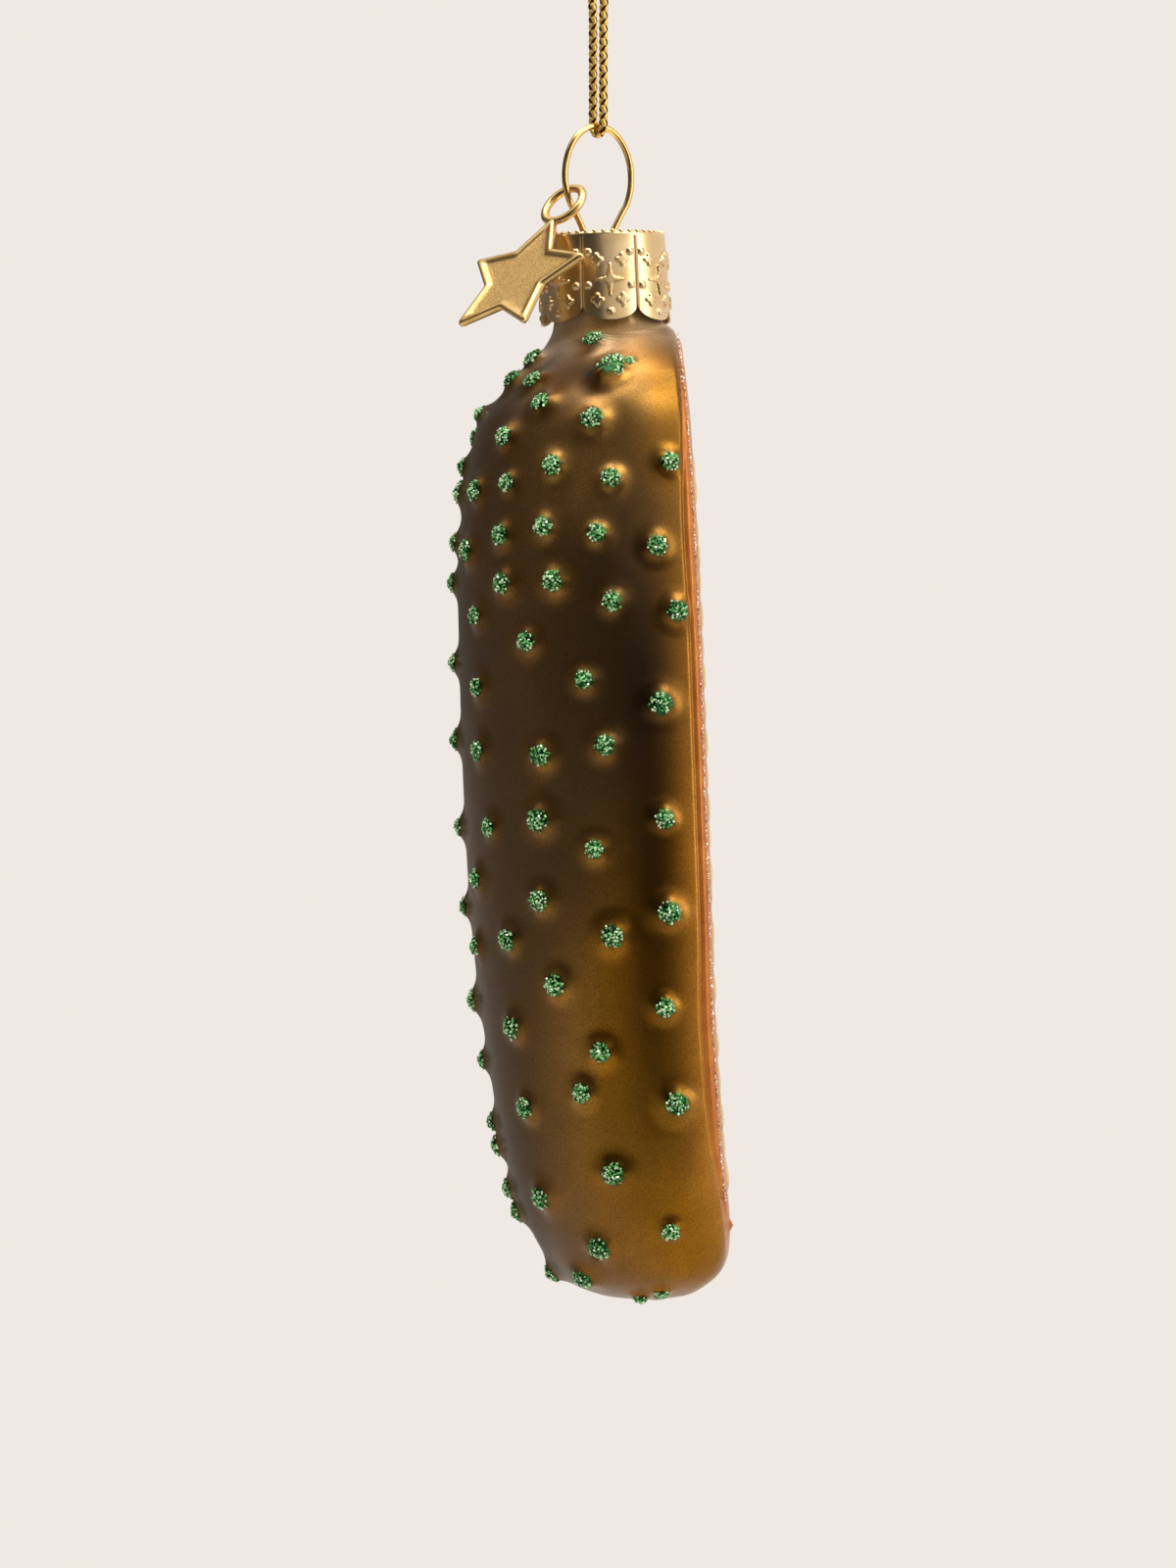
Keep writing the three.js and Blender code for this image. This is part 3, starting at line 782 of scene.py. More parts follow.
def wart_places():
    """Foot point, facing and size of every glittered wart and of every bare one, in the rind's frame."""
    outline = outline_path(WART_OUTLINE_STEPS)

    def back_at(depth):
        return np.interp(depth, outline[:, 0], outline[:, 1])

    seen = [(wart, -1, 0) for wart in WARTS]
    unseen = [
        (wart, 1, FAR_SIDE_SHIFT)
        for wart in WARTS
        if wart[1] > SILHOUETTE_ACROSS and wart[0] + FAR_SIDE_SHIFT < FAR_SIDE_END
    ]
    bare = [(wart, -1, 0) for wart in BARE_WARTS]
    found = []
    for (down, across, *odd), side, lower in seen + unseen + bare:
        depth = (down + lower) / 100 * RIND_LENGTH
        deep, wide, middle = section(depth, back_at(depth))
        share = np.clip((across / 100 * RIND_BACK - middle) / deep, -1, 1)
        outwards = side * math.sqrt(1 - share * share)
        foot = np.array([middle + deep * share, wide * outwards, -depth])
        rise = back_at(depth + WART_SLOPE_STEP) - back_at(depth - WART_SLOPE_STEP)
        level = unit(np.array([share / deep, outwards / wide, 0]))
        facing = unit(level + np.array([0, 0, rise / (2 * WART_SLOPE_STEP)]))
        usual = rng.uniform(*WART_SIZES)
        found.append((foot, facing, odd[0] if odd else usual))
    return found[: -len(bare)], found[-len(bare) :]


def raised(points, warts):
    """Points lifted by the warts, whether each lies on a tip, and how near it stands to a wart."""
    lift = np.zeros_like(points)
    tips = np.zeros(len(points))
    beside = np.zeros(len(points))
    for foot, facing, size in warts:
        near = np.abs(points[:, 2] - foot[2]) < WART_NEAR
        apart = points[near] - foot
        up = apart @ facing
        r = np.linalg.norm(apart - up[:, None] * facing, axis=1)
        level = np.abs(up) < WART_LEVEL
        shape = hump(r, WART_SPREAD * size) * level
        shape = np.where(shape > WART_LEAST, shape, 0)
        higher = shape > np.linalg.norm(lift[near], axis=1) / WART_HEIGHT
        lift[near] = np.where(higher[:, None], (shape * WART_HEIGHT * size)[:, None] * facing, lift[near])
        beside[near] = np.maximum(beside[near], hump(r, BESIDE_WART * size) * level)
        tips[near] = np.maximum(tips[near], inside(TIP_RADIUS * size - r, TIP_EDGE) * (up > -1))
    return points + lift, tips, beside


def seed_places():
    """Middle of every seed on the cut face, as depth and place across, with its tilt."""
    first, last, step = SEED_ROWS
    places = []
    for side in (-1, 1):
        for k, across in enumerate(SEED_ACROSS):
            for depth in np.arange(first + SEED_STAGGER * k + SEED_SIDE_STAGGER * side, last, step):
                narrow = math.sin(math.pi * straight_step(CORE_DEPTHS, depth)) ** SEED_CLOSING
                aside, along, tilt = (rng.normal(0, scatter) for scatter in SEED_SCATTER)
                places.append((depth + along, side * across * narrow + aside, side * SEED_TILT + tilt))
    return places


def seeded(across, depth):
    """How high the seeds stand, from 0 to 1, over points of the cut face."""
    height = np.zeros(len(depth))
    for down, middle, tilt in seed_places():
        along = (depth - down) * math.cos(tilt) + (across - middle) * math.sin(tilt)
        aside = (across - middle) * math.cos(tilt) - (depth - down) * math.sin(tilt)
        width = SEED_HALF_WIDTH * (1 - SEED_TAPER * along / SEED_HALF_LENGTH)
        reach = 1 - (along / SEED_HALF_LENGTH) ** 2 - (aside / np.maximum(width, SEED_LEAST_WIDTH)) ** 2
        height = np.maximum(height, np.sqrt(np.clip(reach, 0, 1)))
    return height


def lacquer_material():
    n = material("lacquered_glass")
    cloud = n.ramp(n.noise(16 * MM, 2, 0.4), 0.35, 0.65)
    streak = n.noise(3 * MM, 3, 0.5)
    streaked = n.ramp(streak, 0.3, 0.7)
    grain = n.noise(0.13 * MM, 1)
    dust_and_sheen = n.paint("dust_and_sheen")
    flesh = n.paint("flesh")
    neck = n.paint("neck")
    highlight_strip = n.paint("highlight_strip")
    amber = n.mix(cloud, colour(176, 118, 20), colour(150, 104, 22))
    # partly a dusty lacquer tone, partly a painted grey-brown sheen on the back and left side
    dusty_sheen = n.mix(cloud, colour(124, 92, 46), colour(108, 80, 42))
    rind = n.mix(dust_and_sheen, amber, dusty_sheen)
    # painted highlight: a pale sheen on the neck under the cap, where the lacquer is also less metallic
    rind = n.mix(neck, rind, colour(186, 158, 122))
    # lighter and darker patches, two of them a painted highlight and a painted shade
    rind = n.mix(n.paint("pale_tone_and_highlight"), rind, colour(214, 160, 80))
    rind = n.mix(n.paint("dark_tone_and_shade"), rind, colour(44, 28, 8))
    # painted highlight: a golden strip beside the cut
    rind = n.mix(n.math("MULTIPLY", highlight_strip, 0.8), rind, colour(202, 130, 20))
    rind = n.mix(n.ramp(streak, 0.3, 0.7, 0, 0.2), rind, colour(96, 62, 18))
    rind = n.mix(n.ramp(grain, 0.4, 0.66, 0, 0.5), rind, colour(66, 42, 12))
    orange = n.mix(streaked, colour(202, 124, 40), colour(180, 98, 26))
    orange = n.mix(n.ramp(grain, 0.4, 0.7, 0, 0.25), orange, colour(150, 76, 30))
    pale = n.mix(streaked, colour(206, 164, 80), colour(184, 140, 58))
    face = n.mix(n.paint("core"), orange, pale)
    face = n.mix(n.ramp(n.paint("seed"), 0.1, 0.5), face, colour(222, 192, 124))
    body = n.mix(flesh, rind, face)
    less_metal = n.math("MAXIMUM", n.math("MAXIMUM", flesh, neck), highlight_strip)
    return n.surface(
        base_color=n.mix(n.paint("tip"), body, colour(18, 70, 30)),
        metallic=n.math("SUBTRACT", n.ramp(dust_and_sheen, 0, 1, 0.97, 0.92), n.ramp(less_metal, 0, 1, 0, 0.6)),
        roughness=n.math("ADD", n.ramp(grain, 0.2, 0.8, 0.27, 0.35), n.math("MULTIPLY", dust_and_sheen, 0.06)),
        coat_weight=n.ramp(dust_and_sheen, 0, 1, 0.05, 0.42),
        coat_roughness=0.36,
        coat_ior=1.5,
        normal=n.bump(grain, 0.02 * MM, 0.25),
    )


def silvering_material():
    n = material("silvering")
    cloud = n.noise(2 * MM)
    return n.surface(
        base_color=n.mix(cloud, colour(196, 190, 176), colour(150, 140, 120)),
        metallic=1.0,
        roughness=n.ramp(cloud, 0.3, 0.7, 0.12, 0.3),
    )


def body_rows():
    """Points of the plain body in its own frame, and what is known of each.

    That is its depth, how far across the orange ends there, and its distance inside the rim of the cut.
    """
    rows = []
    for depth, back in outline_path(RIND_ROWS)[:-1]:
        x, y, edge = section_line(depth, max(back, THINNEST), RIND_COLUMNS)
        on_cut = x > soft_profile(CUT_PROFILE, depth, CUT_SOFT) - ON_CUT
        half = np.abs(y[on_cut]).max() if on_cut.any() else 0
        rim_gap = np.where(on_cut, half - np.abs(y), 0)
        rows.append(np.column_stack([x, y, np.full_like(x, -depth), np.full_like(x, edge), rim_gap]))
    rows = np.vstack(rows)
    return rows[:, :3], -rows[:, 2], rows[:, 3], rows[:, 4]


def core_share(depth, rim_gap):
    """0 on the orange border of the cut face, 1 on its core."""
    rim_gap = np.maximum(rim_gap, NEAREST_EDGE)
    end_gap = np.maximum(np.minimum(depth - CORE_DEPTHS[0], CORE_DEPTHS[1] - depth), NEAREST_EDGE)
    return soft_step(CORE_FROM_EDGE, 1 / np.sqrt(1 / rim_gap**2 + 1 / end_gap**2))


def flesh_share(points, depth, edge):
    """1 on the orange, 0 on the rind."""
    end_share = straight_step(FLESH_END, depth)
    half = np.where(end_share > 0, FLESH_HALF_WIDTH * np.sqrt(1 - end_share**2), RIND_LENGTH)
    within = inside(half - np.abs(points[:, 1]), FLESH_END_EDGE)
    return inside(points[:, 0] - edge, FLESH_EDGE) * straight_step(FLESH_TOP, depth) * within


def drip_share(points, depth):
    """How thick the drip stands over each point, from 0 to 1."""
    off_depth = DEPTH_WEIGHT * np.abs(depth - DRIP_DEPTH)
    off_edge = np.abs(points[:, 0] - points[:, 0].max() + DRIP_FROM_FACE)
    far_side = np.where(points[:, 1] < 0, 0, OFF)
    foot = points[np.argmin(off_depth + off_edge + far_side)]
    return hump(np.linalg.norm(points - foot, axis=1), DRIP_WIDTH)


def glass_body():
    """The lacquered body with its warts, seeds and drip, and the warts that carry glitter."""
    points, depth, edge, rim_gap = body_rows()
    seed = seeded(points[:, 1], depth) * (rim_gap > 0)
    warts, bare = wart_places()
    flesh = flesh_share(points, depth, edge)
    # painted golden highlight in a strip beside the cut
    highlight_strip = hump(np.maximum(edge - points[:, 0], 0), STRIP_REACH)
    highlight_strip *= soft_step(STRIP_TOP, depth) * soft_step(STRIP_FOOT, depth)
    groove = CREASE_DEPTH * hump(points[:, 0] - edge, CREASE_WIDTH)
    groove *= straight_step(CREASE_TOP, depth) * straight_step(CREASE_FOOT, depth)
    points[:, :2] -= groove[:, None] * unit(points[:, :2])
    points[:, 0] += SEED_HEIGHT * seed
    points, tips, beside = raised(points, warts)
    points, _, _ = raised(points, bare)
    drip = drip_share(points, depth)
    points = placed(points + DRIP_HEIGHT * drip[:, None] * DRIP_FACING, depth)
    tone = np.zeros(len(depth))
    for down, across, reach_down, reach_across, amount in TONE_AND_LIGHT_PATCHES:
        tone += amount * hump(depth - down, reach_down) * hump(points[:, 0] - across, reach_across)
    # dusty tone and painted sheen, greater towards the back of the body
    dust_and_sheen = soft_step(DUST_AND_SHEEN_EDGE, points[:, 0] - soft_profile(DUST_AND_SHEEN_PROFILE, depth, DUST_AND_SHEEN_SOFT))
    end = len(points)
    last = end - RIND_COLUMNS
    faces = grid_faces(RIND_ROWS, RIND_COLUMNS)
    faces += [(last + i, end, last + (i + 1) % RIND_COLUMNS) for i in range(RIND_COLUMNS)]
    points = np.vstack([points, moved([(0, 0, -RIND_LENGTH)], RIND_PLACE)])
    made = piece("lacquered_glass", points, faces, lacquer_material())
    shares = {
        "flesh": np.maximum(flesh, np.clip(2 * drip, 0, 1)),
        "tip": tips,
        # the dusty tone and painted sheen give way to a painted golden highlight round the warts and along
        # the cut
        "dust_and_sheen": dust_and_sheen * (1 - DUST_AND_SHEEN_LOST * beside) * (1 - DUST_AND_SHEEN_LOST * highlight_strip),
        "core": core_share(depth, rim_gap),
        "seed": seed,
        "highlight_strip": highlight_strip,
        "neck": soft_step(NECK_HIGHLIGHT, depth),
        "pale_tone_and_highlight": np.clip(tone, 0, 1),
        "dark_tone_and_shade": np.clip(-tone, 0, 1),
    }
    for name, values in shares.items():
        painted(made, name, np.append(values, values[-1]))
    return made, warts


def glass_lining():
    """The silvered inside, one wall's thickness within the body."""
    rows = []
    for depth, back in outline_path(LINING_ROWS)[:-1]:
        back = max(back - min(WALL, back / 4), THINNEST)
        x, y, _ = section_line(depth, back, LINING_COLUMNS, WALL)
        rows.append(np.column_stack([x, y, np.full_like(x, -min(depth, RIND_LENGTH - WALL))]))
    points = np.vstack(rows)
    faces = grid_faces(LINING_ROWS, LINING_COLUMNS, flip=True)
    return piece("silvered_lining", placed(points, -points[:, 2]), faces, silvering_material())


def glass_lip():
    points = moved(rings(LIP_OUTLINE, LIP_COLUMNS), GLASS_PLACE)
    faces = grid_faces(len(LIP_OUTLINE), LIP_COLUMNS, flip=True)
    return piece("glass_lip", points, faces, lacquer_material())


body, glittered = glass_body()
for held in (body, glass_lining(), glass_lip()):
    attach(held, "glass")
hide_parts("glass_body")

# Glitter, in millimetres
CHIP_SIDES = 6
CHIP_TILT = 0.9
CHIP_RADII = (0.4, 0.6)  # as shares of the chips' size, and so is half their thickness
CHIP_HALF = 0.14
GRAIN = 0.3
GRAINS_EACH = 66
GOLDEN_ANGLE = 2.39996
GRAIN_TURN = (-0.5, 0.5)
GRAIN_SCATTER = 0.06
HEAP_RISE = (0, 0.16)
HEAP_LEAN = 0.5
HEAP_START = (0.2, 0.3, 0.9)  # no wart faces along this direction
RIM_STEP = 0.1
RIM_GRAIN = 0.2
RIM_DEPTHS = (1.5, 101)
RIM_ROWS = 500
RIM_COLUMNS = 400
RIM_CORNER = 0.42  # how far the corner of the cut lies behind the face
RIM_FACING = (0.9, 0, 0)
RIM_SCATTER = 0.11
RIM_SQUEEZE = (0.6, 0.6, 1)
RIM_LIFT = 0.05


def chips(centres, ups, size, name, look):
    """Flat six-sided chips, each tilted at random about its place's facing, with a random tone."""
    count = len(centres)
    first = unit(np.cross(ups, rng.normal(size=(count, 3))))
    second = np.cross(ups, first)
    tilt = rng.normal(0, CHIP_TILT, (count, 2))
    normal = unit(ups + tilt[:, :1] * first + tilt[:, 1:] * second)
    first = unit(np.cross(normal, second))
    second = np.cross(normal, first)
    radius = size * rng.uniform(*CHIP_RADII, (count, 1))
    corners = []
    for lift in (-CHIP_HALF * size, CHIP_HALF * size):
        for a in turns(CHIP_SIDES):
            corners.append(centres + radius * (math.cos(a) * first + math.sin(a) * second) + lift * normal)
    one = solid_faces(2, CHIP_SIDES)
    faces = [tuple(k * len(corners) + i for i in face) for k in range(count) for face in one]
    made = piece(name, np.stack(corners, axis=1).reshape(-1, 3), faces, look, smooth=False)
    painted(made, "tone", np.repeat(rng.uniform(0, 1, count), len(corners)))
    return made


def glitter_material(name, dark, middle, bright, metallic, rough):
    n = material(name)
    tone = n.paint("tone")
    low = n.mix(n.ramp(tone, 0, 0.55), dark, middle)
    return n.surface(
        base_color=n.mix(n.ramp(tone, 0.55, 0.85), low, bright),
        metallic=metallic,
        roughness=n.ramp(tone, 0, 1, rough, rough + 0.12),
    )


def green_glitter(warts):
    """A heap of green chips on each wart."""
    centres, ups = [], []
    for foot, facing, size in warts:
        first = unit(np.cross(facing, HEAP_START))
        second = np.cross(facing, first)
        for k in range(GRAINS_EACH):
            a = k * GOLDEN_ANGLE + rng.uniform(*GRAIN_TURN)
            r = TIP_RADIUS * size * math.sqrt((k + 0.5) / GRAINS_EACH) + rng.normal(0, GRAIN_SCATTER)
            height = WART_HEIGHT * size * hump(r, WART_SPREAD * size) + rng.uniform(*HEAP_RISE)
            out = math.cos(a) * first + math.sin(a) * second
            centres.append(foot + facing * height + out * r)
            ups.append(facing + out * r * HEAP_LEAN)
    centres = np.array(centres)
    look = glitter_material(
        "green_glitter", colour(18, 84, 34), colour(112, 196, 104), colour(232, 255, 214), 0.3, 0.2
    )
    heaps = chips(placed(centres, -centres[:, 2]), unit(np.array(ups)), GRAIN, "green_glitter", look)
    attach(heaps, "glass")


def rim_lines():
    """The edge between the orange band and the cut face, on the left of the face and on its right."""
    lines = ([], [])
    for depth, back in outline_path(RIM_ROWS):
        if RIM_DEPTHS[0] < depth < RIM_DEPTHS[1]:
            x, y, _ = section_line(depth, back, RIM_COLUMNS)
            off = np.abs(x - (x.max() - RIM_CORNER))
            for line, elsewhere in zip(lines, (y >= 0, y < 0)):
                near = np.argmin(off + OFF * elsewhere)
                line.append((x[near], y[near], -depth))
    return np.array(lines)


def rim_glitter():
    """Fine pale chips scattered along the rim of the cut face."""
    found = []
    for line in rim_lines():
        along = length_along(line)
        wanted = rng.uniform(0, along[-1], int(along[-1] / RIM_STEP))
        found.append(points_along(line, along, wanted))
    middle = np.vstack(found)
    outwards = unit(np.outer(np.sign(middle[:, 1]), (0, 1, 0)) + RIM_FACING)
    middle += rng.normal(0, RIM_SCATTER, middle.shape) * RIM_SQUEEZE + outwards * RIM_LIFT
    look = glitter_material(
        "pale_glitter", colour(190, 132, 84), colour(226, 196, 164), colour(255, 252, 246), 0.5, 0.25
    )
    made = chips(placed(middle, -middle[:, 2]), outwards, RIM_GRAIN, "rim_glitter", look)
    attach(made, "glass")


green_glitter(glittered)
rim_glitter()

# Wire
ARC_STEPS = 10
WIRE_STEPS = 420
WIRE_SIDES = 20


def loop_point(degrees):
    angle = math.radians(degrees)
    return LOOP_HALF_WIDTH * math.cos(angle), LOOP_HALF_HEIGHT * (math.sin(angle) - 1)


def gold_wire_material():
    n = material("wire_gold")
    return n.surface(
        base_color=n.mix(n.noise(0.4 * MM), colour(232, 196, 128), colour(212, 168, 96)),
        metallic=1.0,
        roughness=n.ramp(n.noise(0.08 * MM, 1), 0.3, 0.7, 0.13, 0.24),
    )


def hanger_wire():
    """One bent wire: a loop above the cap and two bowed legs below it."""
    half = [loop_point(90 - (90 + LOOP_TURN_IN) * i / ARC_STEPS) for i in range(ARC_STEPS + 1)]
    bowing = (LEG_HALF_GAP + 3 * LEG_BOW) / 4
    legs = [
        (LEG_HALF_GAP, 0),
        (LEG_HALF_GAP, LEG_STRAIGHT),
        (bowing, LEG_LENGTH / 4),
        (LEG_BOW, LEG_LENGTH / 2),
        (bowing, LEG_LENGTH),
    ]
    half += [(x, -LOOP_HEIGHT - down) for x, down in legs]
    left = [(-x, z) for x, z in reversed(half[1:])]
    points = np.array([(x, 0, z) for x, z in left + half])
    path, _ = smooth_path(moved(points, WIRE_TOP @ turn(WIRE_TURN, "Z")), WIRE_STEPS)
    made = piece("hanger_loop", *tube_mesh(path, WIRE_DIAMETER / 2, WIRE_SIDES), gold_wire_material())
    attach(made, "hanger")
    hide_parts("hanger_wire")


hanger_wire()

# Cap, in millimetres, from the middle of its top downwards
CAP_TOP_RADIUS = 7.3
CAP_RIM_RADIUS = 7.6
CAP_HEIGHT = 10.35
CAP_DROP = 0.25
THIN_SHEET = 0.8 * CAP_SHEET
PETALS = 7
PETAL_TURN = 4.5
PETAL_ROUND = 1.9
PETAL_SQUARE = 2.2  # 2 would round the petals' ends as circles
PETAL_END = 0.0004
PETAL_BULGE = 0.16
PETAL_BULGES = (1, 4)
PETAL_COLUMNS = 72
PETAL_ROWS = 92
PETAL_ROUND_ROWS = 24
EDGE_DROP = 0.07
EDGE_FROM = (0.93, 1)
SLIT_WIDTH = 0.1
SLIT_TOP = 0.5
# The top: its wall, the fold over it, and the plate with the wire holes
WALL_AT = CAP_TOP_RADIUS - PETAL_BULGE + (CAP_RIM_RADIUS - CAP_TOP_RADIUS) * SLIT_TOP / CAP_HEIGHT
WALL_FOOT = SLIT_TOP + 0.05
FOLD_RADIUS = 0.45
FOLD_STEPS = 8
TOP_COLUMNS = PETALS * 32
PLATE_RADIUS = 3.6
PLATE_SIDES = 96
PLATE_DROP = 0.02
TOP_STEPS = [(WALL_AT - FOLD_RADIUS - 0.4, 0.06), (4.5, 0.1), (PLATE_RADIUS, PLATE_DROP)]
HOLE_RADIUS = WIRE_DIAMETER / 2 + 0.35
HOLE_SIDES = 32
RIM_BEADS = 42
BEAD_RADIUS = 0.31
BEAD_DROP = 0.1
# Stamped figures on a petal: kind, across from its middle, down from the top, half width, half height
EMBOSS = 0.26
FLOWER = 0.86
DOT = 0.43
FIGURES = [("star", 0, 5.7, 1.74, 1.86), ("dot", 0, 9.4, DOT, DOT)]
for side in (-1, 1):
    FIGURES += [("flower", side * 1.52, down, FLOWER, FLOWER) for down in (3.4, 8.05)]
    FIGURES += [("dot", side * across, down, DOT, DOT) for across, down in ((2.55, 2.45), (2.6, 6.35))]
ARM_END = 0.08  # half width of the large star's arms at their ends, as a share of its size
ARM_FOOT = 0.24  # and what their feet add to it
FIGURE_SLOPE = 0.07
FLOWER_LOBE = 0.2
FLOWER_SLOPE = 0.22


def figure_height(across, down, figure):
    """Height from 0 to 1 of one stamped figure over points of a petal."""
    kind, x0, y0, wide, high = figure
    x, y = np.abs(across - x0) / wide, np.abs(down - y0) / high
    if kind == "dot":
        return np.sqrt(np.maximum(1 - x * x - y * y, 0))
    if kind == "star":
        sideways = ARM_END + ARM_FOOT * (1 - np.clip(x, 0, 1)) ** 2 - y
        upright = ARM_END + ARM_FOOT * (1 - np.clip(y, 0, 1)) ** 2 - x
        reach = np.maximum(np.minimum(sideways, 1 - x), np.minimum(upright, 1 - y))
        return soft_step((0, FIGURE_SLOPE), reach)
    lobe = 1 - FLOWER_LOBE + FLOWER_LOBE * np.cos(4 * np.arctan2(y, x))
    return soft_step((0, FLOWER_SLOPE), 1 - np.hypot(x, y) / lobe)


def petal_skin(lift, figures):
    """Angle, radius and depth of the points of one petal's face, lifted by the figures."""
    half = math.pi / PETALS
    rounded = (CAP_HEIGHT - PETAL_ROUND, CAP_HEIGHT)
    straight = np.linspace(SLIT_TOP, rounded[0], PETAL_ROWS - PETAL_ROUND_ROWS, endpoint=False)
    curved = rounded[0] + PETAL_ROUND * np.sin(np.linspace(0, math.pi / 2, PETAL_ROUND_ROWS))
    down = np.concatenate([straight, curved])[:, None]
    radius = CAP_TOP_RADIUS + (CAP_RIM_RADIUS - CAP_TOP_RADIUS) * down / CAP_HEIGHT
    full = half - SLIT_WIDTH / 2 / radius
    width = full * np.sqrt(np.maximum(1 - straight_step(rounded, down) ** PETAL_SQUARE, PETAL_END))
    angle = width * np.linspace(-1, 1, PETAL_COLUMNS + 1)
    depth = np.broadcast_to(down, angle.shape)
    out = radius + lift - PETAL_BULGE - EDGE_DROP * soft_step(EDGE_FROM, np.abs(angle) / full)
    out += PETAL_BULGE * np.cos(angle / half * math.pi / 2) * straight_step(PETAL_BULGES, depth)
    for figure in figures:
        out += EMBOSS * figure_height(angle * radius, depth, figure)
    return angle, out, depth


def petal_faces():
    """Faces of a petal's outer and inner skin, and of the rim that joins them."""
    rows, columns = PETAL_ROWS, PETAL_COLUMNS + 1
    size = rows * columns
    rim = [r * columns for r in range(rows)]
    rim += [(rows - 1) * columns + c for c in range(1, columns)]
    rim += [r * columns + columns - 1 for r in range(rows - 2, -1, -1)]
    outer = grid_faces(rows, columns, closed=False)
    inner = grid_faces(rows, columns, size, flip=True, closed=False)
    return outer + inner + [(i, i + size, j + size, j) for i, j in zip(rim[:-1], rim[1:])]


def petals():
    skins = petal_skin(0, FIGURES), petal_skin(-THIN_SHEET, [])
    faces = petal_faces()
    parts = []
    for start in turns(PETALS) + math.radians(PETAL_TURN) - math.pi / 2:
        points = []
        for angle, out, depth in skins:
            a = angle + start
            points.append(np.stack([out * np.cos(a), out * np.sin(a), -depth], axis=-1).reshape(-1, 3))
        parts.append((np.vstack(points), faces))
    return parts


def taken(shape):
    """Points and faces of a shape under construction, which is then let go."""
    shape.verts.index_update()
    points = np.array([tuple(v.co) for v in shape.verts])
    faces = [tuple(v.index for v in f.verts) for f in shape.faces]
    shape.free()
    return points, faces


def folded_top():
    """The wall above the petals and the fold over it, in to the plate."""
    profile = [(WALL_AT - THIN_SHEET, WALL_FOOT), (WALL_AT, WALL_FOOT), (WALL_AT, FOLD_RADIUS)]
    for i in range(1, FOLD_STEPS + 1):
        turned = math.pi / 2 * i / FOLD_STEPS
        profile.append(
            (WALL_AT - FOLD_RADIUS * (1 - math.cos(turned)), FOLD_RADIUS * (1 - math.sin(turned)))
        )
    profile += TOP_STEPS
    return rings(profile, TOP_COLUMNS), grid_faces(len(profile), TOP_COLUMNS, flip=True)


def top_plate():
    """The middle of the top with its two wire holes, as a plate between circles and holes."""
    plate = bmesh.new()
    loops = [(0, 0, PLATE_RADIUS, PLATE_SIDES)]
    for side in (-1, 1):
        leg = turn(WIRE_TURN, "Z") @ Vector((side * LEG_HALF_GAP, 0, 0))
        loops.append((leg.x - CAP_OFFSET[0], leg.y - CAP_OFFSET[1], HOLE_RADIUS, HOLE_SIDES))
    edges = []
    for x, y, size, count in loops:
        around = [(x + size * math.cos(a), y + size * math.sin(a), -PLATE_DROP) for a in turns(count)]
        ring = [plate.verts.new(point) for point in around]
        edges += [plate.edges.new((ring[i - 1], ring[i])) for i in range(count)]
    bmesh.ops.triangle_fill(plate, use_beauty=True, edges=edges)
    bmesh.ops.solidify(plate, geom=list(plate.faces), thickness=THIN_SHEET)
    for vert in plate.verts:
        if vert.co.z > -PLATE_DROP / 2:
            vert.co.z = -PLATE_DROP - THIN_SHEET
    bmesh.ops.recalc_face_normals(plate, faces=list(plate.faces))
    return taken(plate)


def beads():
    """Beads in a ring round the top."""
    ball = bmesh.new()
    bmesh.ops.create_icosphere(ball, subdivisions=2, radius=BEAD_RADIUS)
    points, faces = taken(ball)
    out = WALL_AT - THIN_SHEET
    return [
        (points + (out * math.cos(angle), out * math.sin(angle), -BEAD_DROP), faces)
        for angle in turns(RIM_BEADS) + math.pi / RIM_BEADS
    ]


def cap_material():
    n = material("cap_gold")
    wide = n.ramp(n.noise(3 * MM), 0.3, 0.7)
    return n.surface(
        base_color=n.mix(wide, colour(238, 210, 164), colour(226, 194, 138)),
        metallic=1.0,
        roughness=0.31,
    )


def cap():
    points, faces = joined([*petals(), folded_top(), *beads(), top_plate()])
    made = piece("stamped_cap", moved(points, CAP_PLACE @ shift(0, 0, -CAP_DROP)), faces, cap_material())
    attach(made, "hanger")
    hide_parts("cap")


cap()

# Star charm, in millimetres in its own plane
STAR_ARMS = 5
STAR_TIP = 9.3
STAR_INNER = 4.9
STAR_THICKNESS = 0.9
STAR_RIM = 1.0
STAR_FIELD_DROP = 0.26
STAR_TIP_ROUND = 0.85
STAR_CORNER_ROUND = 0.35
ROUNDING_SHARES = np.linspace(0, 1, 9)
STRAIGHT_SHARES = np.linspace(0.2, 0.8, 7)
EYE_OUTER = 3.05
EYE_INNER = 2.1
EYE_OVER_TIP = 1.05
EYE_DISTANCE = STAR_TIP + EYE_OUTER - EYE_OVER_TIP
EYE_SWELL = 0.05
EYE_ANGLE = 27.6
EYE_COLUMNS = 72
EYE_SIDES = 20
WIRE_TO_EYE = 1.15
WIRE_SIDE_IN_EYE = 14.6
STAR_YAW = -43.85
STAR_SPIN = -0.7
STAR_TO_CAP = 0.2


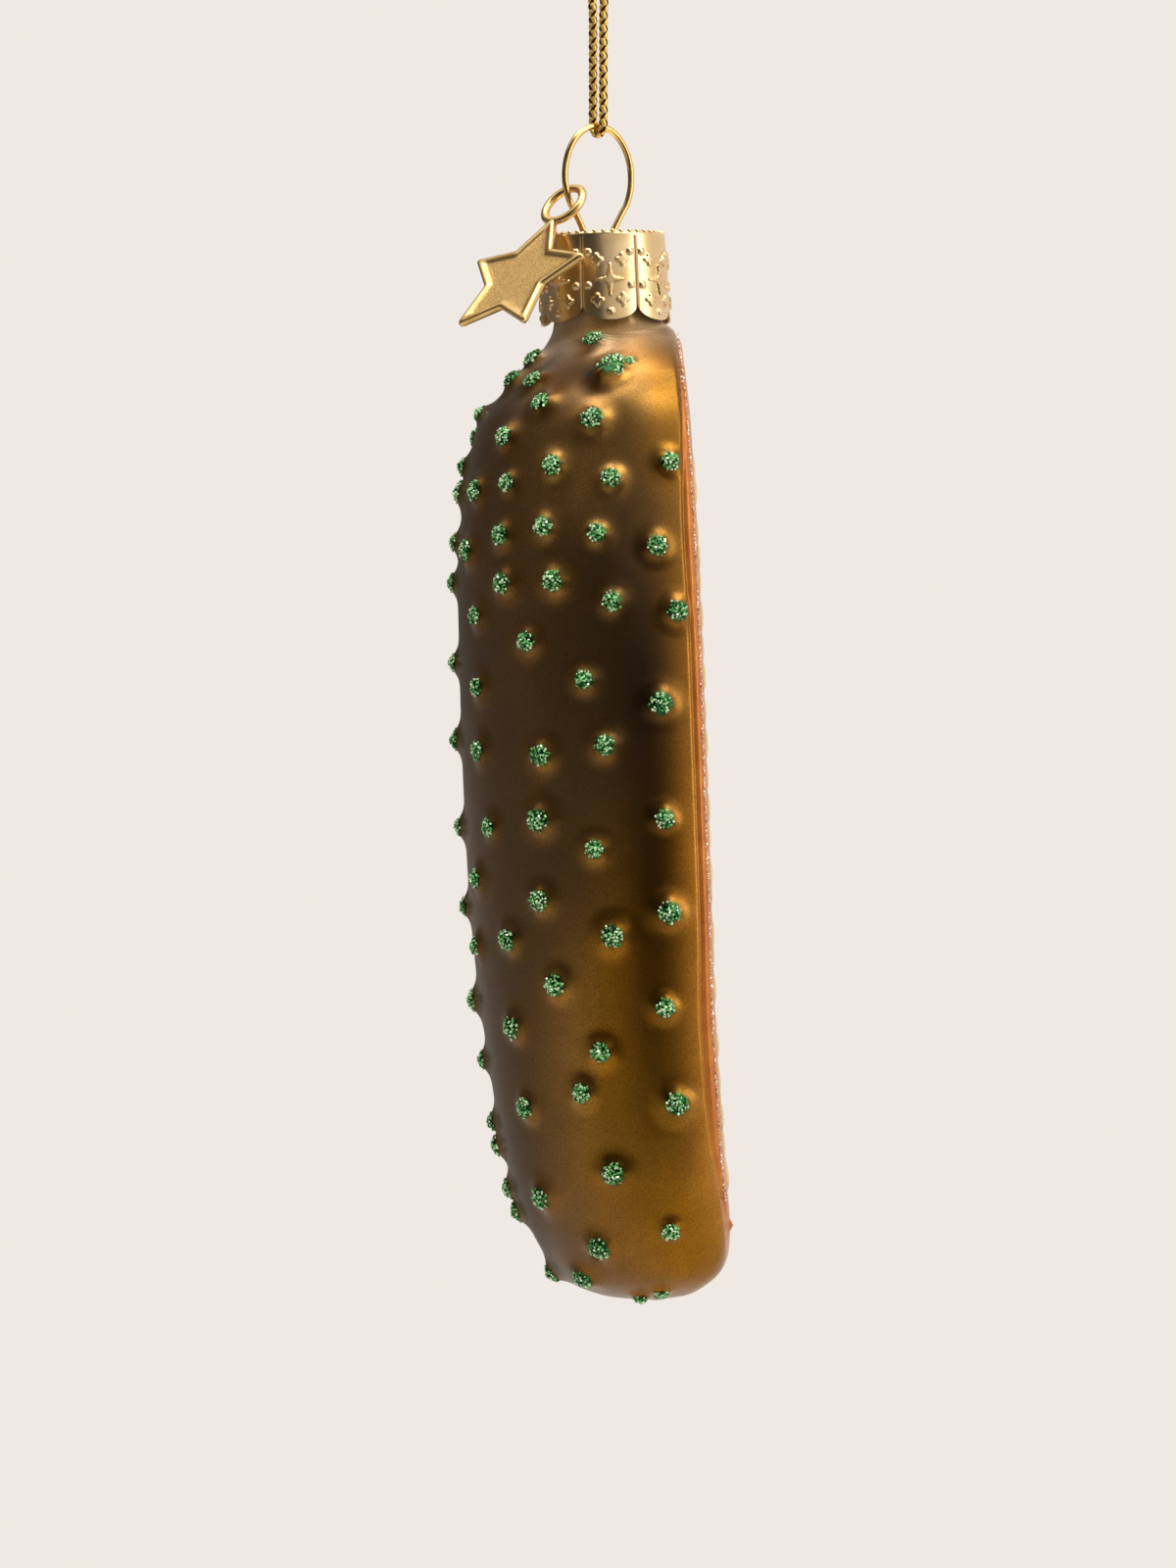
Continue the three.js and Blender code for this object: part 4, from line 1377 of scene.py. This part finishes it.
def star_place():
    """The star's frame: hung on the loop by its eye, leaning back on the cap's top edge."""
    across, height = loop_point(180 + EYE_ANGLE)
    on_loop = turn(WIRE_TURN, "Z") @ Vector((across, 0, height))
    yaw = math.radians(STAR_YAW)
    outwards = Vector((math.sin(yaw), -math.cos(yaw)))
    to_middle = Vector(CAP_OFFSET) - on_loop.to_2d()
    edge_out = CAP_TOP_RADIUS + to_middle.dot(outwards)
    edge_down = LOOP_HEIGHT + CAP_SHEET + on_loop.z
    behind = STAR_THICKNESS / 2 + STAR_TO_CAP
    lean = math.atan2(edge_down, edge_out) - math.asin(behind / math.hypot(edge_out, edge_down))
    wire_in_eye = EYE_INNER - WIRE_TO_EYE
    aside = math.radians(WIRE_SIDE_IN_EYE)
    to_eye = shift(-wire_in_eye * math.sin(aside), -EYE_DISTANCE - wire_in_eye * math.cos(aside), 0)
    leaning = turn(STAR_YAW, "Z") @ turn(math.degrees(lean), "X") @ turn(STAR_SPIN, "Z")
    return WIRE_TOP @ shift(*on_loop) @ leaning @ to_eye


def star_line():
    """The star's outline with its tips and inner corners rounded."""
    corners = []
    for k in range(STAR_ARMS * 2):
        radius = STAR_TIP if k % 2 == 0 else STAR_INNER
        angle = math.pi / 2 + k * math.pi / STAR_ARMS
        corners.append(np.array([radius * math.cos(angle), radius * math.sin(angle)]))
    line = []
    for k, corner in enumerate(corners):
        before, after = corners[k - 1], corners[(k + 1) % len(corners)]
        cutback = STAR_TIP_ROUND if k % 2 == 0 else STAR_CORNER_ROUND
        start = corner + unit(before - corner) * cutback
        finish = corner + unit(after - corner) * cutback
        line += [(1 - t) ** 2 * start + 2 * t * (1 - t) * corner + t * t * finish for t in ROUNDING_SHARES]
        line += [corner + (after - corner) * t for t in STRAIGHT_SHARES]
    return np.array(line)


def star_plate():
    """The star with its raised rim and sunk field, and how far each point belongs to the field."""
    arm = math.pi / STAR_ARMS
    side = math.dist((STAR_TIP, 0), (STAR_INNER * math.cos(arm), STAR_INNER * math.sin(arm)))
    apothem = STAR_TIP * STAR_INNER * math.sin(arm) / side
    almost = 0.98 * apothem
    top = STAR_THICKNESS / 2
    sunk = top - STAR_FIELD_DROP
    # From the back's middle round the edge to the field's middle: inset from the outline, height
    back = [(almost, -top), (1.0, -top), (0.22, -top), (0.07, -top + 0.06), (0, -top + 0.2)]
    rim = [(0, top - 0.3), (0.06, top - 0.12), (0.18, top - 0.03), (0.36, top), (0.52, top - 0.02)]
    rim += [(STAR_RIM - 0.16, top - 0.12), (STAR_RIM - 0.03, sunk + 0.03)]
    field = [(STAR_RIM + 0.12, sunk), (STAR_RIM + 0.8, sunk), (almost, sunk)]
    line = star_line()
    rows = []
    for inset, height in back + rim + field:
        rows.append(np.column_stack([line * (1 - inset / apothem), np.full(len(line), height)]))
    in_field = [0] * (len(back + rim) - 1) + [0.5] + [1] * len(field)
    return np.vstack(rows), solid_faces(len(rows), len(line)), np.repeat(in_field, len(line))


def star_eye():
    """The ring that the wire passes through."""
    half_wide = (EYE_OUTER - EYE_INNER) / 2 + EYE_SWELL
    points = []
    for a in turns(EYE_COLUMNS):
        for b in turns(EYE_SIDES):
            r = (EYE_OUTER + EYE_INNER) / 2 + half_wide * math.cos(b)
            points.append((r * math.cos(a), EYE_DISTANCE + r * math.sin(a), STAR_THICKNESS / 2 * math.sin(b)))
    faces = [tuple(i % len(points) for i in face) for face in grid_faces(EYE_COLUMNS + 1, EYE_SIDES)]
    return np.array(points), faces


def star_material():
    n = material("charm_gold")
    sand = n.noise(0.16 * MM, 3, 0.75)
    field = n.paint("field")
    wide = n.ramp(n.noise(2.5 * MM), 0.3, 0.7)
    rim = n.mix(wide, colour(236, 202, 138), colour(220, 180, 108))
    sanded = n.mix(n.ramp(sand, 0.35, 0.65), colour(144, 110, 54), colour(234, 196, 128))
    return n.surface(
        base_color=n.mix(field, rim, sanded),
        metallic=1.0,
        roughness=n.math("ADD", n.ramp(field, 0, 1, 0.27, 0.42), n.ramp(sand, 0, 1, -0.03, 0.08)),
        normal=n.bump(sand, 0.05 * MM, n.ramp(field, 0, 1, 0.06, 0.75)),
    )


def star_charm():
    plate, faces, in_field = star_plate()
    points, faces = joined([(plate, faces), star_eye()])
    made = piece("star_plate", moved(points, star_place()), faces, star_material())
    painted(made, "field", np.append(in_field, np.zeros(len(points) - len(plate))))
    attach(made, "charm")
    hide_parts("star_charm")


star_charm()

# Knot over the cord loop, out of the photograph
KNOT_HEIGHT = 3.4
KNOT_GAP = 0.3
TAIL_LENGTH = 6
TAIL_FOOT = 0.55
TAIL_BEND = 0.5
TAIL_SPREAD = 1.6
WRAP_TURNS = 2.2
WRAP_STEPS = 28
WRAP_RADIUS = 1.15
WRAP_END_RADIUS = 0.35
WRAP_ENDS = 6  # its ends widen over one sixth of it each
WRAP_OVAL = (1.15, 0.95)
WRAP_HEIGHT = KNOT_HEIGHT - 1.3
WRAP_SLANT = 0.35


def wrapped_turns(middle):
    """Route of the turns wound round both strands."""
    route = []
    for t in np.linspace(0, 1, WRAP_STEPS + 1):
        angle = FULL_TURN * WRAP_TURNS * t
        r = WRAP_END_RADIUS + (WRAP_RADIUS - WRAP_END_RADIUS) * min(WRAP_ENDS * t, WRAP_ENDS * (1 - t), 1)
        x, y = r * WRAP_OVAL[0] * math.cos(angle), r * WRAP_OVAL[1] * math.sin(angle)
        route.append((x, y, middle + (t - 0.5) * WRAP_HEIGHT + WRAP_SLANT * math.cos(angle)))
    return route


def cord_knot():
    """Both strands run up through a wrapped turn and end in two short tails."""
    middle = STRAND_ROUTE[0][1] - HOOK_TO_WIRE + KNOT_GAP + KNOT_HEIGHT / 2
    routes = []
    for side in (-1, 1):
        tail = [
            (TAIL_FOOT, 0.1 - KNOT_HEIGHT / 2),
            (TAIL_FOOT, 0),
            (TAIL_FOOT + TAIL_BEND, (KNOT_HEIGHT + TAIL_LENGTH) / 2),
            (TAIL_FOOT + TAIL_SPREAD, KNOT_HEIGHT / 2 + TAIL_LENGTH),
        ]
        routes.append([(side * out, 0, middle + up) for out, up in tail])
    routes.append(wrapped_turns(middle))
    parts, over = [], []
    for route in routes:
        strand, painted_lightness, _, _ = braid(route)
        parts += strand
        over.append(painted_lightness)
    points, faces = joined(parts)
    made = piece("tied_knot", moved(points, turn(CORD_TURN, "Z")), faces, gold_braid)
    # painted shade between and under the yarns, for the material to read
    painted(made, "over", np.concatenate(over))
    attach(made, "knot")
    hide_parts("cord_knot")
    return made


knot = cord_knot()
